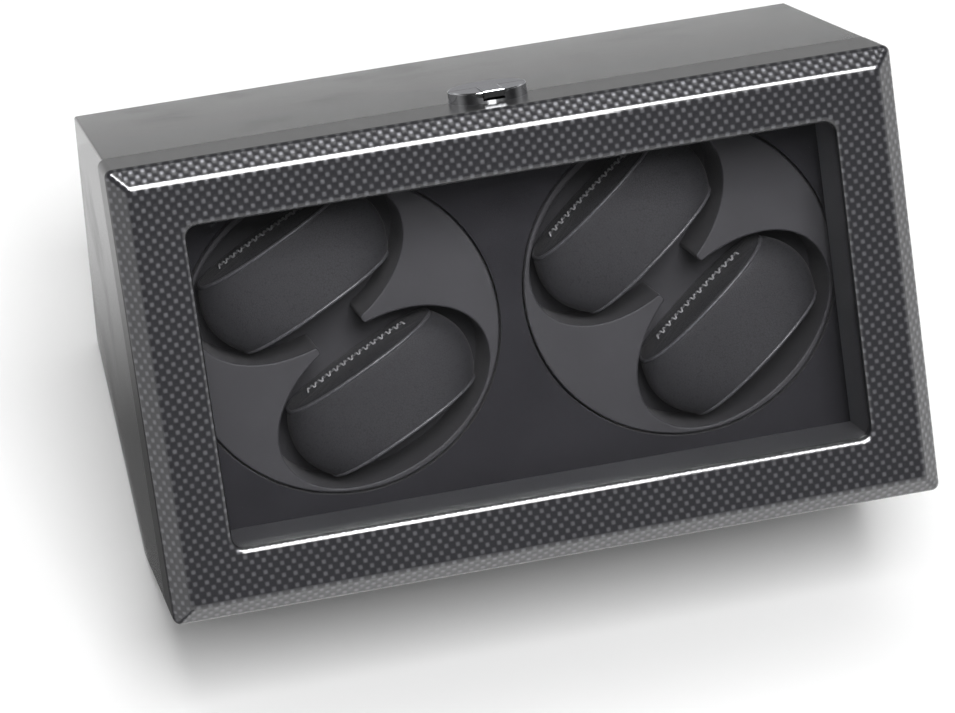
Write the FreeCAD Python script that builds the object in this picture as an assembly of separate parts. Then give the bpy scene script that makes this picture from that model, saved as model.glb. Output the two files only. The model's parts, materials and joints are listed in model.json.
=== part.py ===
import FreeCAD, Part
import math
import os

# Watch winder box: a lacquered case that leans back on a wedge, a deep glazed door hinged
# at the bottom, and two motor-driven turntables that each hold two watch cushions.
#
# Two frames are used, both in millimetres. In the face frame X runs along the width, Y runs
# back from the door's front face and Z runs up that face. In the standing frame Z is up, and
# the origin is the middle of the flat face that the box stands on. FACE_TO_STAND leans the
# first into the second.

# Case
LEAN = 37.0              # how far the front leans back, degrees
CASE_STEP = 2.0          # side of the case inside the side of the door
CASE_TOP_DEPTH = 138.0   # top panel, from the parting line to the back
CASE_UNDER_DEPTH = 121.0 # underside, from the parting line to the base
CASE_DROP = 6.5          # underside below the door's lower edge
WALL = 12.0              # lacquered board
EDGE_ROUND = 1.2
PAD_THICK = 1.5
PAD_INSET = 3.0

# Door
DOOR_WIDTH = 340.0
DOOR_HEIGHT = 198.0
DOOR_DEPTH = 40.0
DOOR_WALL = 9.0
DOOR_BEVEL = 8.0
DOOR_CREASE = 3.5        # rounding of the bevel's edges
DOOR_STILE = 29.5        # frame beside the window
DOOR_RAIL_TOP = 27.8     # frame above the window
DOOR_RAIL_LOW = 30.2     # frame below the window
WINDOW_CORNER = 5.0
WINDOW_EDGE = 2.8        # rounding of the window's front edge
GLASS_LAP = 5.0
GLASS_THICK = 2.0
GLASS_SET = 5.0          # glass behind the front face
LINER_WALL = 3.0
LINER_STEP = 1.0         # liner outside the window's edge
POST_RADIUS = 4.5
POST_INSET = 14.0        # screw posts from the door's sides
PARTING_GAP = 0.5

# Hinges
HINGE_SPREAD = 200.0
HINGE_LENGTH = 40.0
HINGE_MIDDLE = 14.0      # length of the door's knuckle
HINGE_GAP = 0.3
KNUCKLE_RADIUS = 2.6
HINGE_PIN_RADIUS = 1.2
RUNNING = 0.05           # radial clearance of a turning fit
LEAF_THICK = 1.0
LEAF_HEIGHT = 7.6
HINGE_DROP = 3.4         # hinge axis below the door's lower edge
LEAF_SCREW_RADIUS = 1.2
LEAF_SCREW_LENGTH = 7.0
LEAF_SCREW_SPREAD = 26.0

# Clasp
CLASP_RADIUS = 17.0
CLASP_THICK = 5.0
CLASP_ROUND = 0.6
TAB_WIDTH = 9.0
TAB_PROUD = 0.6          # release tab above and in front of the clasp
TAB_DEPTH = 15.0
TAB_TRAVEL = 1.0
TAB_GAP = 0.3
TONGUE_WIDTH = 8.0
TONGUE_REACH = 7.0
TONGUE_THICK = 1.2
TONGUE_GAP = 0.7

# Display deck
DECK_RECESS = 12.5       # deck behind the parting line
DECK_THICK = 6.0
CLEAT = 8.0
DECK_HOLE_GAP = 1.0

# Turntables
TABLE_RADIUS = 70.0
TABLE_GAP = 12.4         # between the two turntables
TABLE_RAISE = 3.0        # axis above the window's middle
TABLE_FACE = 3.0
TABLE_TURN_LEFT = 26.5   # rest angles, counter-clockwise from the front, degrees
TABLE_TURN_RIGHT = 38.0
POCKET_RIM = 3.0         # face between a pocket's side and the turntable's edge
POCKET_END_RIM = 2.0     # least face beyond a pocket's ends
POCKET_BRIDGE = 2.0      # between the two ovals
POCKET_DEPTH = 33.5
POCKET_WALL = 2.5
CHANNEL_WIDE = 23.0
LOBE_ROUND = 1.5
LIP_ROUND = 0.8
SHELL_STEP = 0.4         # pocket walls inside the turntable's edge
HUB_RADIUS = 30.0
HUB_THICK = 4.0
BOSS_RADIUS = 9.0
BOSS_LENGTH = 5.0
HUB_SCREW_OFFSET = 22.0
HUB_SCREW_RADIUS = 1.5
HUB_SCREW_HEAD = 3.0
HUB_SCREW_SINK = 1.2
SHAFT_RADIUS = 4.0

# Cushions
CUSHION_SIDE_GAP = 14.0  # between a cushion's flat end and the pocket's side
CUSHION_TIP_GAP = 0.3    # cushion's tips inside the pocket's outline at its flat ends
CUSHION_DEEP = 44.0
CUSHION_END = 15.0       # radius of the rounded ends
CUSHION_CROWN = 0.035    # share by which the sides draw in before the end seams
CUSHION_DRAW = 0.13      # share by which the stitched ends draw in
CUSHION_SEAM = 3.5       # end seam's distance from the end
CUSHION_GAP = 0.4

# Drive
GEAR_MODULE = 1.5
GEAR_TEETH = 48
PINION_TEETH = 12
GEAR_WIDTH = 6.0
TOOTH_SLACK = 0.78       # share of the ideal tooth thickness
TOOTH_TIP = 0.9          # tooth height above the pitch circle, in modules
TOOTH_ROOT = 1.25
PRESSURE_ANGLE = 20.0
PLATE_THICK = 2.0
PLATE_LIFT = 16.5        # above the underside board
PLATE_DROP = 14.0        # below the top board
PLATE_GAP = 4.0          # between the drive gear and the bush
BUSH_RADIUS = 8.0
BUSH_FLANGE_RADIUS = 12.0
BUSH_FLANGE = 4.0
BUSH_LENGTH = 12.0
CLIP_RADIUS = 7.0
CLIP_THICK = 1.2
CLIP_GAP = 0.3
SHAFT_END = 2.0
PINION_SHAFT_RADIUS = 3.0
PINION_HOLE_RADIUS = 6.0
GEARBOX_RADIUS = 18.5
GEARBOX_LENGTH = 20.0
MOTOR_RADIUS = 12.0
MOTOR_LENGTH = 24.0
PINION_SEAT = 13.0       # pinion shaft inside the gearbox
MOTOR_SCREW_RADIUS = 1.5
MOTOR_SCREW_OFFSET = 13.0
MOTOR_SCREW_DEPTH = 6.0
SCREW_RADIUS = 1.75
SCREW_HEAD_RADIUS = 3.4
SCREW_HEAD = 2.0
SCREW_LENGTH = 9.0
SCREW_SINK = 1.5         # sunk heads
RECESS_REACH = 1.9       # half the length of a screw's cross recess
RECESS_WIDE = 0.8
RECESS_DEEP = 0.7

# Base and electrics
WEIGHT_WIDTH = 190.0
WEIGHT_DEPTH = 84.0
WEIGHT_THICK = 8.0
WEIGHT_SIDE = 11.0       # weight inside the left board
WEIGHT_REAR = 3.0        # weight in front of the back panel
BOARD_WIDTH = 76.0
BOARD_DEPTH = 56.0
BOARD_THICK = 1.6
BOARD_SIDE = 18.0        # board inside the right board of the case
STANDOFF_RADIUS = 3.0
STANDOFF_HEIGHT = 6.0
STANDOFF_INSET = 5.0

# Rear control cover
COVER_WIDTH = 220.0
COVER_HEIGHT = 76.0
COVER_THICK = 2.0
COVER_MIDDLE = 72.0      # height above the base
COVER_LAP = 9.0
COVER_ROUND = 4.0
COVER_EDGE = 0.6
INLET_X = -24.0
INLET_RADIUS = 5.5
INLET_FLANGE_RADIUS = 7.0
INLET_FLANGE = 1.5
INLET_LENGTH = 13.0
SOCKET_RADIUS = 2.75
SOCKET_DEPTH = 9.0
SOCKET_PIN_RADIUS = 1.05
ROCKER_X = 24.0
ROCKER_WIDTH = 12.0
ROCKER_RADIUS = 7.5
ROCKER_TILT = 9.0        # degrees to each side
ROCKER_GAP = 0.4
ROCKER_PROUD = 2.2
ROCKER_PIN_RADIUS = 1.2
BEZEL_WALL = 1.6
BEZEL_FLANGE = 2.0
BEZEL_LIP = 1.5
BEZEL_DEPTH = 14.0
KNOB_SPREAD = 136.0
KNOB_RADIUS = 9.0
KNOB_LENGTH = 11.0
KNOB_GAP = 0.5
KNOB_RIDGE = 3.0
KNOB_FLUTES = 18
FLUTE_RADIUS = 1.0
KNOB_EDGE = 0.6
KNOB_SHAFT_RADIUS = 3.0
SELECTOR_SIZE = 17.0
SELECTOR_DEPTH = 9.0

# Worked out from the sizes above
X_AXIS = FreeCAD.Vector(1, 0, 0)
Y_AXIS = FreeCAD.Vector(0, 1, 0)
Z_AXIS = FreeCAD.Vector(0, 0, 1)
LEAN_SIN = math.sin(math.radians(LEAN))
LEAN_COS = math.cos(math.radians(LEAN))
CASE_HALF = DOOR_WIDTH / 2 - CASE_STEP
INNER_HALF = CASE_HALF - WALL
CASE_FRONT = DOOR_DEPTH + PARTING_GAP
CASE_TOP = DOOR_HEIGHT
CASE_LOW = -CASE_DROP
WINDOW_WIDTH = DOOR_WIDTH - 2 * DOOR_STILE
WINDOW_HEIGHT = DOOR_HEIGHT - DOOR_RAIL_TOP - DOOR_RAIL_LOW
WINDOW_MIDDLE = DOOR_RAIL_LOW + WINDOW_HEIGHT / 2
HINGE_Y = DOOR_DEPTH + PARTING_GAP / 2
HINGE_Z = -HINGE_DROP
DECK_SET = CASE_FRONT + DECK_RECESS
DECK_BACK = DECK_SET + DECK_THICK
POCKET_BACK = DECK_SET + POCKET_DEPTH
CUP_BACK = POCKET_BACK + POCKET_WALL
BOSS_BACK = CUP_BACK + HUB_THICK + BOSS_LENGTH
GEAR_BACK = BOSS_BACK + GEAR_WIDTH
PLATE_FRONT = GEAR_BACK + PLATE_GAP + BUSH_FLANGE
PLATE_BACK = PLATE_FRONT + PLATE_THICK
BUSH_BACK = PLATE_FRONT + BUSH_LENGTH
TABLE_SPREAD = 2 * TABLE_RADIUS + TABLE_GAP
TABLE_HEIGHT = WINDOW_MIDDLE + TABLE_RAISE
PLATE_LOW = CASE_LOW + WALL + PLATE_LIFT
PLATE_HIGH = CASE_TOP - WALL - PLATE_DROP
WEIGHT_X = WEIGHT_WIDTH / 2 + WEIGHT_SIDE - INNER_HALF
BOARD_X = INNER_HALF - BOARD_SIDE - BOARD_WIDTH / 2
GEAR_CENTRES = GEAR_MODULE * (GEAR_TEETH + PINION_TEETH) / 2
PINION_HEIGHT = TABLE_HEIGHT - GEAR_CENTRES
SIDES = {"left": -1, "right": 1}
TABLE_TURN = {"left": TABLE_TURN_LEFT, "right": TABLE_TURN_RIGHT}

# Each oval pocket touches, at its ends, a circle just inside the turntable's edge
POCKET_WIDE = TABLE_RADIUS - POCKET_RIM - POCKET_BRIDGE / 2
POCKET_OFFSET = (POCKET_WIDE + POCKET_BRIDGE) / 2
POCKET_SPAN = (TABLE_RADIUS - POCKET_END_RIM) ** 2 - POCKET_WIDE ** 2 / 4 - POCKET_OFFSET ** 2
POCKET_ROOT = math.sqrt(POCKET_SPAN ** 2 - (POCKET_WIDE * POCKET_OFFSET) ** 2)
POCKET_LONG = 2 * math.sqrt((POCKET_SPAN + POCKET_ROOT) / 2 + POCKET_WIDE ** 2 / 4)
CUSHION_WIDE = POCKET_WIDE - 2 * CUSHION_SIDE_GAP
CUSHION_LONG = POCKET_LONG * math.sqrt(1 - (CUSHION_WIDE / POCKET_WIDE) ** 2) - 2 * CUSHION_TIP_GAP

# Case profile in the face frame, as (Y, Z): parting line top, back top, base back, base front, parting line low
TOP_BACK = (CASE_FRONT + CASE_TOP_DEPTH, CASE_TOP)
BASE_FRONT = (CASE_FRONT + CASE_UNDER_DEPTH, CASE_LOW)
RISE_Y = TOP_BACK[0] - BASE_FRONT[0]
RISE_Z = TOP_BACK[1] - BASE_FRONT[1]
BASE_DEPTH = RISE_Y * LEAN_COS + RISE_Z * LEAN_SIN
BACK_HEIGHT = RISE_Z * LEAN_COS - RISE_Y * LEAN_SIN
BASE_BACK = (BASE_FRONT[0] + BASE_DEPTH * LEAN_COS, BASE_FRONT[1] + BASE_DEPTH * LEAN_SIN)
PROFILE = [(CASE_FRONT, CASE_TOP), TOP_BACK, BASE_BACK, BASE_FRONT, (CASE_FRONT, CASE_LOW)]

# The lean turns the face frame about X, and the shift puts the base's middle at the origin
BASE_MIDDLE_Y = (BASE_FRONT[0] * LEAN_COS + BASE_FRONT[1] * LEAN_SIN) + BASE_DEPTH / 2
BASE_MIDDLE_Z = -BASE_FRONT[0] * LEAN_SIN + BASE_FRONT[1] * LEAN_COS
FACE_SHIFT = FreeCAD.Vector(0, -BASE_MIDDLE_Y, PAD_THICK - BASE_MIDDLE_Z)
FACE_TO_STAND = FreeCAD.Placement(FACE_SHIFT, FreeCAD.Rotation(X_AXIS, -LEAN))
STANDING = FreeCAD.Placement()


def write(node, solids, placement):
    """Put the solids of one node into the standing frame and write them."""
    group = Part.makeCompound(solids)
    group.Placement = placement
    group.exportStep("parts/" + node + ".step")


def slab(low, high):
    """A box from its lowest corner to its highest."""
    size = FreeCAD.Vector(*high) - FreeCAD.Vector(*low)
    return Part.makeBox(size.x, size.y, size.z, FreeCAD.Vector(*low))


def rod(x, y, z, radius, length, axis=Y_AXIS):
    """A cylinder from a point along an axis."""
    return Part.makeCylinder(radius, length, FreeCAD.Vector(x, y, z), axis)


def prism(points, x_low, x_high):
    """A (Y, Z) outline carried along X."""
    corners = [FreeCAD.Vector(x_low, y, z) for y, z in points]
    outline = Part.makePolygon(corners + corners[:1])
    return Part.Face(outline).extrude(FreeCAD.Vector(x_high - x_low, 0, 0))


def rounded_bar(width, height, corner, y_front, y_back, z_middle):
    """A rectangle with round corners, centred on X, carried back along Y."""
    bar = slab((-width / 2, y_front, z_middle - height / 2), (width / 2, y_back, z_middle + height / 2))
    upright = [edge for edge in bar.Edges if abs(edge.BoundBox.YLength - (y_back - y_front)) < 1e-6]
    return bar.makeFillet(corner, upright)


def screw(x, y, z, radius, length, head_radius, head, axis):
    """A screw whose head sits on the point and whose shank runs along the axis."""
    shank = rod(x, y, z, radius, length, axis)
    top = Part.makeCylinder(head_radius, head, FreeCAD.Vector(x, y, z) - axis * head, axis)
    return shank.fuse(top).removeSplitter()


def sunk_screw(x, y, z, radius, length, head_radius, sink, axis):
    """A screw whose flat head ends flush at the point."""
    shank = rod(x, y, z, radius, length, axis)
    return shank.fuse(rod(x, y, z, head_radius, sink, axis)).removeSplitter()


def recessed(screws, axis):
    """The same screws, each with a cross recess cut into its head."""
    slotted = []
    for body in screws:
        box = body.BoundBox
        top = box.YMin if axis.y > 0 else box.YMax
        for half_x, half_z in ((RECESS_REACH, RECESS_WIDE / 2), (RECESS_WIDE / 2, RECESS_REACH)):
            deep = sorted((top, top + axis.y * RECESS_DEEP))
            low = (box.Center.x - half_x, deep[0], box.Center.z - half_z)
            body = body.cut(slab(low, (box.Center.x + half_x, deep[1], box.Center.z + half_z)))
        slotted.append(body)
    return slotted


def inset_corner(before, corner, after):
    """The point one wall thickness inside a corner of the case profile."""
    ends = [FreeCAD.Vector(0, *point) for point in (before, corner, after)]
    first = (ends[1] - ends[0]).normalize()
    second = (ends[2] - ends[1]).normalize()
    inward_first = first.cross(X_AXIS)
    inward_second = second.cross(X_AXIS)
    share = WALL / (1 + inward_first.dot(inward_second))
    inside = ends[1] + (inward_first + inward_second) * share
    return (inside.y, inside.z)


def inner_profile():
    """The case profile one wall inside, open at the parting line."""
    inner = [(CASE_FRONT, CASE_TOP - WALL)]
    for index in (1, 2, 3):
        inner.append(inset_corner(PROFILE[index - 1], PROFILE[index], PROFILE[index + 1]))
    inner.append((CASE_FRONT, CASE_LOW + WALL))
    return inner


def side_panel(side):
    """A side of the case, with its outer edges rounded behind the parting line."""
    outer = side * CASE_HALF
    panel = prism(PROFILE, min(outer, side * INNER_HALF), max(outer, side * INNER_HALF))
    rounded = []
    for edge in panel.Edges:
        box = edge.BoundBox
        on_outside = abs(box.XMin - outer) < 1e-6 and abs(box.XMax - outer) < 1e-6
        if on_outside and box.YMax > CASE_FRONT + EDGE_ROUND:
            rounded.append(edge)
    return panel.makeFillet(EDGE_ROUND, rounded)


def mitred_panel(index):
    """The board along one edge of the profile, mitred to its neighbours."""
    inner = inner_profile()
    outline = [PROFILE[index], PROFILE[index + 1], inner[index + 1], inner[index]]
    return prism(outline, -INNER_HALF, INNER_HALF)


def hinge_places():
    """The middles of the two hinges along X."""
    return (-HINGE_SPREAD / 2, HINGE_SPREAD / 2)


def leaf_screw_places():
    """Leaf screws along X, two for each hinge."""
    return [x + step for x in hinge_places() for step in (-LEAF_SCREW_SPREAD / 2, LEAF_SCREW_SPREAD / 2)]


def underside_panel():
    """The underside board, with a notch and a mortise for each hinge in its front edge."""
    panel = mitred_panel(3)
    notch = KNUCKLE_RADIUS + 2 * HINGE_GAP
    reach = HINGE_LENGTH / 2 + HINGE_GAP
    for x in hinge_places():
        low = (x - reach, CASE_FRONT, CASE_LOW)
        panel = panel.cut(slab(low, (x + reach, HINGE_Y + notch, HINGE_Z + notch)))
        panel = panel.cut(body_leaf_plate(x, HINGE_Z))
    for hole in body_leaf_screws():
        panel = panel.cut(hole)
    return panel


def body_leaf_plate(x, z_low):
    """The flat of the case's hinge leaf, in the parting face."""
    low = (x - HINGE_LENGTH / 2, CASE_FRONT, z_low)
    high = (x + HINGE_LENGTH / 2, CASE_FRONT + LEAF_THICK, HINGE_Z + LEAF_HEIGHT)
    return slab(low, high)


def door_leaf_plate(x):
    """The flat of the door's hinge leaf, in the door's back face."""
    low = (x - HINGE_LENGTH / 2, DOOR_DEPTH - LEAF_THICK, 0)
    high = (x + HINGE_LENGTH / 2, DOOR_DEPTH, LEAF_HEIGHT)
    return slab(low, high)


def body_leaf_screws():
    """Flush screws of the case's hinge leaves."""
    z = HINGE_Z + LEAF_HEIGHT - 2 * LEAF_SCREW_RADIUS
    return [rod(x, CASE_FRONT, z, LEAF_SCREW_RADIUS, LEAF_SCREW_LENGTH) for x in leaf_screw_places()]


def door_leaf_screws():
    """Flush screws of the door's hinge leaves."""
    y = DOOR_DEPTH - LEAF_SCREW_LENGTH
    z = LEAF_HEIGHT / 2
    return [rod(x, y, z, LEAF_SCREW_RADIUS, LEAF_SCREW_LENGTH) for x in leaf_screw_places()]


def body_hinge_leaves():
    """Two case leaves, each with a knuckle at both ends that grips the pin."""
    clear = HINGE_MIDDLE / 2 + HINGE_GAP
    length = HINGE_LENGTH / 2 - clear
    leaves = []
    for x in hinge_places():
        leaf = body_leaf_plate(x, HINGE_Z)
        room = KNUCKLE_RADIUS + HINGE_GAP
        leaf = leaf.cut(rod(x - clear, HINGE_Y, HINGE_Z, room, 2 * clear, X_AXIS))
        for start in (x - HINGE_LENGTH / 2, x + clear):
            leaf = leaf.fuse(rod(start, HINGE_Y, HINGE_Z, KNUCKLE_RADIUS, length, X_AXIS))
        leaf = leaf.cut(hinge_pin(x))
        for hole in body_leaf_screws():
            leaf = leaf.cut(hole)
        leaves.append(leaf.removeSplitter())
    return leaves


def door_hinge_leaves():
    """Two door leaves, each with one knuckle that turns on the pin."""
    leaves = []
    for x in hinge_places():
        start = x - HINGE_MIDDLE / 2
        neck_low = (start, DOOR_DEPTH - LEAF_THICK, HINGE_Z)
        neck = slab(neck_low, (start + HINGE_MIDDLE, DOOR_DEPTH, 0))
        leaf = door_leaf_plate(x).fuse(neck)
        leaf = leaf.fuse(rod(start, HINGE_Y, HINGE_Z, KNUCKLE_RADIUS, HINGE_MIDDLE, X_AXIS))
        leaf = leaf.cut(rod(start, HINGE_Y, HINGE_Z, HINGE_PIN_RADIUS + RUNNING, HINGE_MIDDLE, X_AXIS))
        for hole in door_leaf_screws():
            leaf = leaf.cut(hole)
        leaves.append(leaf.removeSplitter())
    return leaves


def hinge_pin(x):
    """One hinge pin."""
    return rod(x - HINGE_LENGTH / 2, HINGE_Y, HINGE_Z, HINGE_PIN_RADIUS, HINGE_LENGTH, X_AXIS)


def door_blank():
    """The door's outer block, bevelled round the front, with every crease rounded."""
    block = slab((-DOOR_WIDTH / 2, 0, 0), (DOOR_WIDTH / 2, DOOR_DEPTH, DOOR_HEIGHT))
    front = [edge for edge in block.Edges if edge.BoundBox.YMax < 1e-6]
    block = block.makeChamfer(DOOR_BEVEL, front)
    creases = [edge for edge in block.Edges if edge.BoundBox.YMin < DOOR_DEPTH - 1e-6]
    return block.makeFillet(DOOR_CREASE, creases)


def window_bar(grow, y_front, y_back):
    """The window's outline, grown all round, carried back along Y."""
    width = WINDOW_WIDTH + 2 * grow
    height = WINDOW_HEIGHT + 2 * grow
    return rounded_bar(width, height, WINDOW_CORNER + grow, y_front, y_back, WINDOW_MIDDLE)


def window_slab(grow, y_front, y_back):
    """The same with square corners."""
    half_x = WINDOW_WIDTH / 2 + grow
    half_z = WINDOW_HEIGHT / 2 + grow
    return slab((-half_x, y_front, WINDOW_MIDDLE - half_z), (half_x, y_back, WINDOW_MIDDLE + half_z))


def post_places():
    """The four liner screw posts in the door's corners, as (X, Z)."""
    x = DOOR_WIDTH / 2 - POST_INSET
    return [(side * x, z) for side in (-1, 1) for z in (POST_INSET, DOOR_HEIGHT - POST_INSET)]


def liner_screws():
    """Screws through the liner's flange into the door's posts."""
    screws = []
    for x, z in post_places():
        screws.append(sunk_screw(x, DOOR_DEPTH, z, SCREW_RADIUS, SCREW_LENGTH,
                                 SCREW_HEAD_RADIUS, SCREW_SINK, -Y_AXIS))
    return screws


def door_frame():
    """The door's shell: front, four walls and screw posts, with the glass rebate."""
    frame = door_blank()
    hollow_low = (-DOOR_WIDTH / 2 + DOOR_WALL, DOOR_WALL, DOOR_WALL)
    hollow_high = (DOOR_WIDTH / 2 - DOOR_WALL, DOOR_DEPTH, DOOR_HEIGHT - DOOR_WALL)
    frame = frame.cut(slab(hollow_low, hollow_high))
    frame = frame.cut(window_bar(0, 0, DOOR_WALL))
    rim = [edge for edge in frame.Edges if edge.BoundBox.YMax < 1e-6 and inside_window_edge(edge)]
    frame = frame.makeFillet(WINDOW_EDGE, rim)
    frame = frame.cut(window_bar(GLASS_LAP, GLASS_SET, DOOR_WALL))
    for x, z in post_places():
        frame = frame.fuse(rod(x, DOOR_WALL, z, POST_RADIUS, DOOR_DEPTH - LINER_WALL - DOOR_WALL))
    for hole in liner_screws() + door_leaf_screws():
        frame = frame.cut(hole)
    for x in hinge_places():
        frame = frame.cut(door_leaf_plate(x))
    return frame.removeSplitter()


def inside_window_edge(edge):
    """Whether an edge of the front face belongs to the window."""
    box = edge.BoundBox
    return abs(box.XMin) < WINDOW_WIDTH / 2 + 1e-3 and abs(box.XMax) < WINDOW_WIDTH / 2 + 1e-3


def window_liner():
    """The tray behind the glass: a sleeve round the window and a flange across the door's back."""
    glass_back = GLASS_SET + GLASS_THICK
    seat = window_bar(GLASS_LAP, glass_back, DOOR_WALL)
    sleeve = window_slab(LINER_STEP + LINER_WALL, DOOR_WALL, DOOR_DEPTH)
    flange_low = (-DOOR_WIDTH / 2 + DOOR_WALL, DOOR_DEPTH - LINER_WALL, DOOR_WALL)
    flange_high = (DOOR_WIDTH / 2 - DOOR_WALL, DOOR_DEPTH, DOOR_HEIGHT - DOOR_WALL)
    liner = seat.fuse(sleeve).fuse(slab(flange_low, flange_high))
    liner = liner.cut(window_slab(LINER_STEP, glass_back, DOOR_DEPTH))
    for hole in liner_screws():
        liner = liner.cut(hole)
    return liner.removeSplitter()


def clasp_disc():
    """The whole round clasp, before it is parted, with its top edge rounded."""
    disc = rod(0, HINGE_Y, CASE_TOP, CLASP_RADIUS, CLASP_THICK, Z_AXIS)
    top = [edge for edge in disc.Edges if edge.BoundBox.ZMin > CASE_TOP + CLASP_THICK - 1e-6]
    return disc.makeFillet(CLASP_ROUND, top)


def clasp_keeper():
    """The case's half of the clasp, with the channel that takes the tongue."""
    reach = 2 * CLASP_RADIUS
    half = clasp_disc().common(slab((-reach, CASE_FRONT, CASE_TOP), (reach, CASE_FRONT + reach, CASE_TOP + reach)))
    side = TONGUE_WIDTH / 2 + TONGUE_GAP
    deep = CASE_FRONT + TONGUE_REACH + TONGUE_GAP
    channel = slab((-side, CASE_FRONT, CASE_TOP), (side, deep, CASE_TOP + TONGUE_THICK + 3 * TONGUE_GAP))
    return half.cut(channel)


def tab_block(grow):
    """The release tab's block, grown on its free sides."""
    side = TAB_WIDTH / 2 + grow
    front = HINGE_Y - CLASP_RADIUS - TAB_PROUD
    low = (-side, front - grow, CASE_TOP + TONGUE_THICK + TAB_TRAVEL + TAB_GAP - grow)
    high = (side, front + TAB_DEPTH + grow, CASE_TOP + CLASP_THICK + TAB_PROUD)
    return slab(low, high)


def clasp_cap():
    """The door's half of the clasp: the tongue below, and the notch that guides the release tab."""
    reach = 2 * CLASP_RADIUS
    half = clasp_disc().common(slab((-reach, DOOR_DEPTH - reach, CASE_TOP), (reach, DOOR_DEPTH, CASE_TOP + reach)))
    notch = tab_block(TAB_GAP)
    travel_room = notch.copy()
    travel_room.translate(FreeCAD.Vector(0, 0, -TAB_TRAVEL))
    half = half.cut(notch).cut(travel_room)
    low = (-TONGUE_WIDTH / 2, DOOR_DEPTH - TONGUE_REACH, CASE_TOP + TONGUE_GAP)
    tongue = slab(low, (TONGUE_WIDTH / 2, CASE_FRONT + TONGUE_REACH, CASE_TOP + TONGUE_GAP + TONGUE_THICK))
    tongue = tongue.cut(notch).cut(travel_room)
    return half.fuse(tongue).removeSplitter()


def clasp_tab():
    """The release tab, rounded along its top edges."""
    tab = tab_block(0)
    top = [edge for edge in tab.Edges if edge.BoundBox.ZMin > CASE_TOP + CLASP_THICK]
    return tab.makeFillet(CLASP_ROUND, top)


def table_x(side):
    """A turntable's axis along X."""
    return SIDES[side] * TABLE_SPREAD / 2


def display_deck():
    """The board behind the glass, with a round hole for each turntable."""
    deck = slab((-INNER_HALF, DECK_SET, CASE_LOW + WALL), (INNER_HALF, DECK_BACK, CASE_TOP - WALL))
    for side in SIDES:
        radius = TABLE_RADIUS + DECK_HOLE_GAP
        deck = deck.cut(rod(table_x(side), DECK_SET, TABLE_HEIGHT, radius, DECK_THICK))
    return deck


def cleats(y_front, z_low, z_high):
    """A strip glued to each side of the case, that a board or plate is fixed to."""
    strips = []
    for side in (-1, 1):
        ends = sorted((side * INNER_HALF, side * (INNER_HALF - CLEAT)))
        strips.append(slab((ends[0], y_front, z_low), (ends[1], y_front + CLEAT, z_high)))
    return strips


def turned(shape, side):
    """Carry a shape made about the Y axis to a turntable's axis, at its rest angle."""
    shape.rotate(FreeCAD.Vector(0, 0, 0), Y_AXIS, -TABLE_TURN[side])
    shape.translate(FreeCAD.Vector(table_x(side), 0, TABLE_HEIGHT))
    return shape


def pocket_bar(grow, y_front, y_back):
    """Two oval pockets joined by a channel, grown all round, carried back along Y."""
    length = y_back - y_front
    reach = POCKET_OFFSET
    side = CHANNEL_WIDE / 2 + grow
    bar = slab((-side, y_front, -reach), (side, y_back, reach))
    for z in (-POCKET_OFFSET, POCKET_OFFSET):
        centre = FreeCAD.Vector(0, y_front, z)
        tip = FreeCAD.Vector(POCKET_LONG / 2 + grow, y_front, z)
        edge = FreeCAD.Vector(0, y_front, z + POCKET_WIDE / 2 + grow)
        oval = Part.Face(Part.Wire(Part.Ellipse(tip, edge, centre).toShape()))
        bar = bar.fuse(oval.extrude(FreeCAD.Vector(0, length, 0)))
    return bar.removeSplitter()


def pocket_hollow():
    """The hollow of the pockets, with the ends of the face's two lobes rounded."""
    hollow = pocket_bar(0, DECK_SET, POCKET_BACK)
    lobe_edges = []
    for edge in hollow.Edges:
        box = edge.BoundBox
        upright = abs(box.YLength - POCKET_DEPTH) < 1e-6 and box.XLength + box.ZLength < 1e-6
        if upright and abs(abs(box.XMin) - CHANNEL_WIDE / 2) < 1e-3:
            lobe_edges.append(edge)
    return hollow.makeFillet(LOBE_ROUND, lobe_edges)


def pocket_shell(y_front, y_back):
    """The outline of the pockets' walls, kept inside the turntable's edge, carried back along Y."""
    shell = pocket_bar(POCKET_WALL, y_front, y_back)
    return shell.common(rod(0, y_front, 0, TABLE_RADIUS - SHELL_STEP, y_back - y_front))


def turntable_cup(side):
    """The turntable's moulding: a round face with rounded lips and the walls of its two joined pockets."""
    face = rod(0, DECK_SET, 0, TABLE_RADIUS, TABLE_FACE)
    cup = face.fuse(pocket_shell(DECK_SET, POCKET_BACK)).cut(pocket_hollow()).removeSplitter()
    lips = [edge for edge in cup.Edges if edge.BoundBox.YMax < DECK_SET + 1e-6]
    return turned(cup.makeFillet(LIP_ROUND, lips), side)


def pocket_floor(side):
    """The plate that closes the pockets at the back."""
    floor = turned(pocket_shell(POCKET_BACK, CUP_BACK), side)
    for hole in hub_screws(side):
        floor = floor.cut(hole)
    return floor


def hub_screws(side):
    """Two flush screws from the pocket floors into the hub."""
    screws = []
    for z in (-HUB_SCREW_OFFSET, HUB_SCREW_OFFSET):
        body = sunk_screw(0, POCKET_BACK, z, HUB_SCREW_RADIUS, POCKET_WALL + HUB_THICK,
                          HUB_SCREW_HEAD, HUB_SCREW_SINK, Y_AXIS)
        screws.append(turned(body, side))
    return screws


def turntable_hub(side):
    """The flange that joins the pocket floor to its shaft."""
    hub = rod(0, CUP_BACK, 0, HUB_RADIUS, HUB_THICK).fuse(rod(0, CUP_BACK, 0, BOSS_RADIUS, HUB_THICK + BOSS_LENGTH))
    hub = hub.cut(rod(0, CUP_BACK, 0, SHAFT_RADIUS, HUB_THICK + BOSS_LENGTH)).removeSplitter()
    hub = turned(hub, side)
    for hole in hub_screws(side):
        hub = hub.cut(hole)
    return hub


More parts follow.
